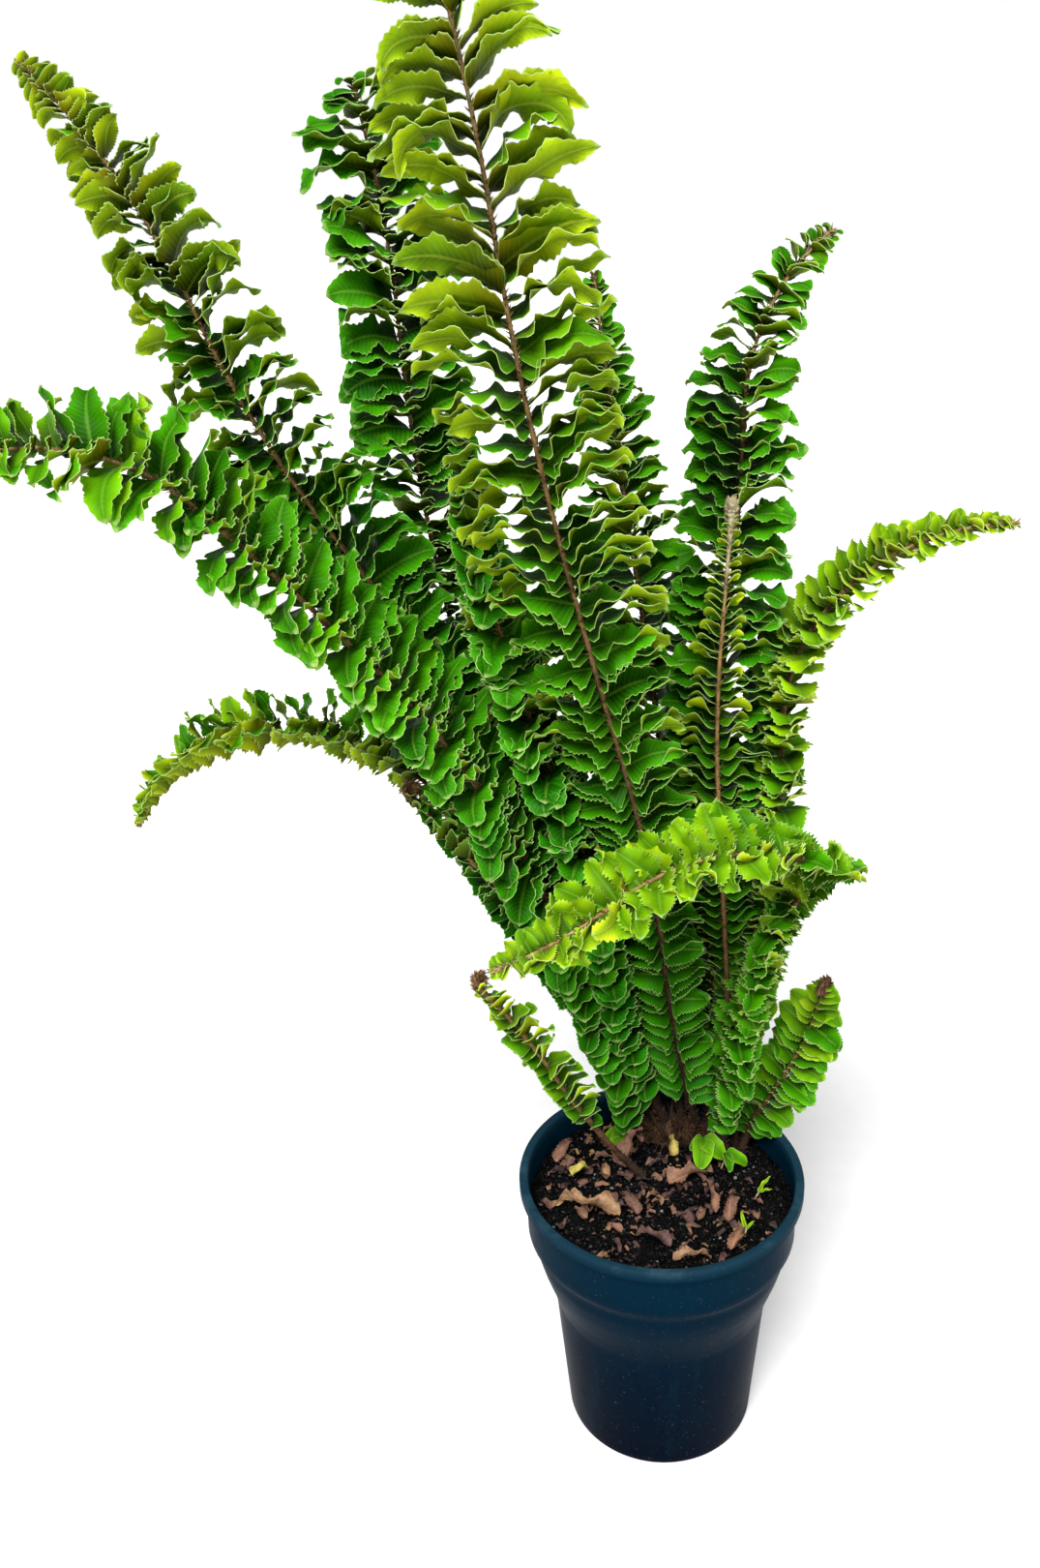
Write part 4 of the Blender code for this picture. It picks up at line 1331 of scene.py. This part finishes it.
class FERN_OT_add_litter(bpy.types.Operator):
    """Lay the fallen leaves and the small bits between them"""
    bl_idname = "fern.add_litter"
    bl_label = "Add Leaf Litter"

    def execute(self, context):
        settings = context.scene.fern_litter
        dice = np.random.default_rng(LITTER_SEED)
        for kind in DRIED_LEAVES:
            start, axis, face, length, width = leaf_pose(kind.node)
            leaf = single_leaves(
                start[None], axis[None], face[None], np.array([length * 1.1]),
                np.array([width * kind.broad]), dice,
                rise=np.array([kind.rise]), droop=np.array([kind.droop]), curl=np.array([kind.curl]),
                cup=np.array([kind.cup]), ruffle=np.array([kind.ruffle]), waves=np.array([2.3]),
                teeth=np.array([0.22]), point=np.array([0.9]), youth=np.array([kind.color]))
            item = leaves_piece(f"{kind.node}_curled", leaf, dried_materials())
            declare(item, "dried_leaf", kind.node)
        self.add_crumbs(settings, dice)
        return {"FINISHED"}

    @staticmethod
    def add_crumbs(settings, dice):
        """Strew small curled bits in loose heaps, all in one mesh."""
        count = settings.crumbs
        heaps = np.array(CRUMB_HEAPS)
        heap = heaps[dice.integers(0, len(heaps), count)]
        place = heap[:, :2] + dice.normal(0.0, 1.0, (count, 2)) * heap[:, 2:]
        far = np.hypot(place[:, 0], place[:, 1])
        place *= np.minimum(1.0, BIT_REACH / far)[:, None]
        level = node_points("potting_soil")[:, 2].max()
        height = soil_height(place, level) + 0.0006 + dice.random(count) * 0.0016
        heading = dice.random(count) * 2 * math.pi
        tilt = dice.normal(0.0, 0.30, count)
        axis = np.concatenate([around(heading, np.cos(tilt)), np.sin(tilt)[:, None]], axis=1)
        lean = [dice.normal(0, 0.35, count) for _ in range(2)]
        normal = unit(np.stack([*lean, np.ones(count)], axis=1))
        normal = unit(normal - (normal * axis).sum(axis=1, keepdims=True) * axis)
        length = settings.crumb_length * (0.4 + 1.3 * dice.random(count) ** 1.5)
        leaf = single_leaves(
            np.concatenate([place, height[:, None]], axis=1), axis, normal, length,
            length * dice.uniform(0.14, 0.34, count), dice,
            rise=dice.uniform(5, 35, count), droop=dice.uniform(20, 120, count),
            curl=dice.normal(0, 70, count), cup=dice.uniform(0.3, 1.3, count),
            ruffle=length * 0.07, teeth=np.full(count, 0.15),
            youth=np.clip(dice.normal(0.30, 0.22, count), 0.0, 0.9))
        declare(leaves_piece("leaf_bits", leaf, dried_materials()), "dried_leaf")


class Sprout(NamedTuple):
    """A young leaf: its leaflets' angles from its axis and lengths, and whether it hangs."""
    node: str
    angles: tuple
    lengths: tuple
    plump: float
    youth: float
    hangs: bool


SPROUTS = (
    Sprout("young_leaf_bright", (-34, 20, 62), (0.95, 1.0, 0.60), 0.36, 0.56, True),
    Sprout("young_leaf_behind", (-30, 34), (1.0, 0.8), 0.28, 0.52, True),
    Sprout("young_leaf_left", (-50, 0, 44), (0.8, 1.0, 0.85), 0.26, 0.58, True),
    Sprout("seedling_right", (-26, 22), (0.85, 0.60), 0.11, 0.76, False),
    Sprout("seedling_front", (-30, 26), (0.80, 0.55), 0.11, 0.70, False),
)


class FernSproutSettings(bpy.types.PropertyGroup):
    """The stalks of the young leaves."""
    stalk_radius: bpy.props.FloatProperty(
        name="Stalk Radius", description="Radius of a young leaf's stalk", default=0.0005, min=0.0001,
        unit="LENGTH")
    stalk_depth: bpy.props.FloatProperty(
        name="Stalk Depth", description="How deep a stalk reaches into the soil", default=0.004,
        min=0.0, unit="LENGTH")


class FERN_OT_add_sprouts(bpy.types.Operator):
    """Grow the young leaves and the seedlings on their stalks"""
    bl_idname = "fern.add_sprouts"
    bl_label = "Add Young Leaves"

    def execute(self, context):
        settings = context.scene.fern_sprouts
        dice = np.random.default_rng(SPROUT_SEED)
        level = node_points("potting_soil")[:, 2].max()
        for kind in SPROUTS:
            start, axis, face, length, _ = leaf_pose(kind.node)
            if kind.hangs:
                start, axis = start + axis * length, -axis
            side = np.cross(axis, face)
            turn = np.radians(kind.angles)[:, None]
            axes = axis[None] * np.cos(turn) + side[None] * np.sin(turn)
            count = len(turn)
            lengths = length * np.array(kind.lengths)
            leaf = single_leaves(
                np.repeat(start[None], count, axis=0), axes, np.repeat(face[None], count, axis=0),
                lengths, lengths * kind.plump, dice, rise=np.full(count, 10.0),
                droop=dice.uniform(25, 50, count), curl=dice.normal(0, 14, count),
                cup=np.full(count, 0.32), ruffle=lengths * 0.035, point=np.full(count, 0.05),
                teeth=np.full(count, 0.03), youth=np.full(count, kind.youth))
            blades = leaves_piece(f"{kind.node}_blades", leaf, leaf_materials())
            declare(blades, "young_leaf", kind.node)
            foot = np.array([start[0], start[1], level - settings.stalk_depth])
            foot = foot - 0.3 * (axis * (1, 1, 0)) * length
            share = np.linspace(0.0, 1.0, STALK_STEPS)[:, None]
            centres = foot + (start + axis * 0.001 - foot) * share
            along = np.repeat(unit(centres[-1] - centres[0])[None], STALK_STEPS, axis=0)
            upper = unit(np.cross(np.cross(along, face), along))
            points, faces = rod(centres, along, upper, np.full(STALK_STEPS, settings.stalk_radius))
            stalk = make_piece(f"{kind.node}_stalk", points, faces, [stem_material()])
            add_point_value(stalk, "youth", np.full(len(points), 0.9))
            declare(stalk, "young_leaf")
        return {"FINISHED"}


# --- stage --------------------------------------------------------------------------------------

class FernStageSettings(bpy.types.PropertyGroup):
    """The floor, the light and the viewpoint."""
    lens: bpy.props.FloatProperty(
        name="Lens", description="Focal length of the camera in millimetres", default=33.33, min=10.0)
    view_place: bpy.props.FloatVectorProperty(
        name="View Place", description="Where the camera stands", default=(0.0, -0.608, 0.678),
        unit="LENGTH")
    view_pitch: bpy.props.FloatProperty(
        name="View Pitch", description="How far the camera looks down", default=math.radians(25.5),
        unit="ROTATION")
    view_turn: bpy.props.FloatProperty(
        name="View Turn", description="How far the camera looks towards -X",
        default=math.radians(6.25), unit="ROTATION")
    view_roll: bpy.props.FloatProperty(
        name="View Roll", description="How far the camera leans", default=math.radians(2.3),
        unit="ROTATION")
    ambient: bpy.props.FloatProperty(
        name="Ambient", description="Light that comes from all round", default=0.25, min=0.0)
    key_strength: bpy.props.FloatProperty(
        name="Key Strength", description="Strength of the main light", default=4.9, min=0.0)
    floor_size: bpy.props.FloatProperty(
        name="Floor Size", description="Side of the floor", default=12.0, min=1.0, unit="LENGTH")


def add_sun(name, strength, spread, lean):
    """A far soft light; spread and lean are in degrees."""
    light = bpy.data.lights.new(name, "SUN")
    light.energy = strength
    light.angle = math.radians(spread)
    item = bpy.data.objects.new(name, light)
    item.rotation_euler = [math.radians(angle) for angle in lean]
    bpy.context.scene.collection.objects.link(item)


class FERN_OT_add_stage(bpy.types.Operator):
    """Lay the pale floor and set the soft lights and the camera"""
    bl_idname = "fern.add_stage"
    bl_label = "Add Stage"

    @staticmethod
    def studio_world(ambient):
        """A white backdrop that lights the plant less than it shows."""
        world = bpy.data.worlds.new("studio")
        world.use_nodes = True
        shade = Shading(world.node_tree)
        backdrop = world.node_tree.nodes["Background"]
        seen = shade.node("ShaderNodeLightPath").outputs["Is Camera Ray"]
        backdrop.inputs[0].default_value = (1.0, 1.0, 1.0, 1.0)
        shade.feed(backdrop.inputs[1], shade.band(seen, 0.0, 1.0, ambient, 1.0))
        return world

    def execute(self, context):
        settings = context.scene.fern_stage
        half = settings.floor_size / 2.0
        corners = half * np.array([(-1, -1, 0), (1, -1, 0), (1, 1, 0), (-1, 1, 0)])
        material, shader, shade = new_material("floor_paint", 0.9, 0.1)
        speck = place_group(shade, mottle_group(), Tone=(0.93, 0.93, 0.93, 1),
                            Other_Tone=(0.89, 0.89, 0.90, 1), Coarse=2.0, Fine=60.0)
        shade.feed(shader.inputs["Base Color"], speck["Color"])
        make_piece("floor", corners, [(0, 1, 2, 3)], [material])
        context.scene.world = self.studio_world(settings.ambient)
        context.scene.view_settings.view_transform = "Standard"
        add_sun("key_sun", settings.key_strength, 34.0, (36, 0, -16))
        add_sun("side_sun", settings.key_strength * 0.25, 60.0, (62, 0, 55))
        camera = bpy.data.objects.new("camera", bpy.data.cameras.new("camera"))
        camera.data.lens = settings.lens
        context.scene.collection.objects.link(camera)
        look = Matrix.Rotation(settings.view_turn, 4, "Z") @ Matrix.Rotation(
            math.pi / 2 - settings.view_pitch, 4, "X") @ Matrix.Rotation(-settings.view_roll, 4, "Z")
        camera.matrix_world = Matrix.Translation(settings.view_place) @ look
        context.scene.camera = camera
        return {"FINISHED"}


# --- registration -------------------------------------------------------------------------------

class FERN_PT_sidebar(bpy.types.Panel):
    """Lists the pieces of the potted fern"""
    bl_idname = "FERN_PT_sidebar"
    bl_label = "Potted Fern"
    bl_space_type = "VIEW_3D"
    bl_region_type = "UI"
    bl_category = "Fern"

    def draw(self, context):
        for operator in OPERATORS:
            self.layout.operator(operator.bl_idname)
        for name in SETTINGS:
            box = self.layout.box()
            group = getattr(context.scene, name)
            for key in group.bl_rna.properties.keys():
                if key not in ("rna_type", "name"):
                    box.prop(group, key)


SETTINGS = {
    "fern_pot": FernPotSettings,
    "fern_soil": FernSoilSettings,
    "fern_crown": FernCrownSettings,
    "fern_fronds": FernFrondSettings,
    "fern_litter": FernLitterSettings,
    "fern_sprouts": FernSproutSettings,
    "fern_stage": FernStageSettings,
}
OPERATORS = (
    FERN_OT_add_stage, FERN_OT_add_pot, FERN_OT_add_soil, FERN_OT_add_crown, FERN_OT_add_fronds,
    FERN_OT_add_litter, FERN_OT_add_sprouts,
)


def register():
    for group in SETTINGS.values():
        bpy.utils.register_class(group)
    for name, group in SETTINGS.items():
        setattr(bpy.types.Scene, name, bpy.props.PointerProperty(type=group))
    for operator in OPERATORS:
        bpy.utils.register_class(operator)
    bpy.utils.register_class(FERN_PT_sidebar)


def unregister():
    bpy.utils.unregister_class(FERN_PT_sidebar)
    for operator in reversed(OPERATORS):
        bpy.utils.unregister_class(operator)
    for name, group in SETTINGS.items():
        delattr(bpy.types.Scene, name)
        bpy.utils.unregister_class(group)


def main():
    register()
    bpy.ops.fern.add_stage()
    bpy.ops.fern.add_pot()
    bpy.ops.fern.add_soil()
    bpy.ops.fern.add_crown()
    bpy.ops.fern.add_fronds()
    bpy.ops.fern.add_litter()
    bpy.ops.fern.add_sprouts()


if __name__ == "__main__":
    main()
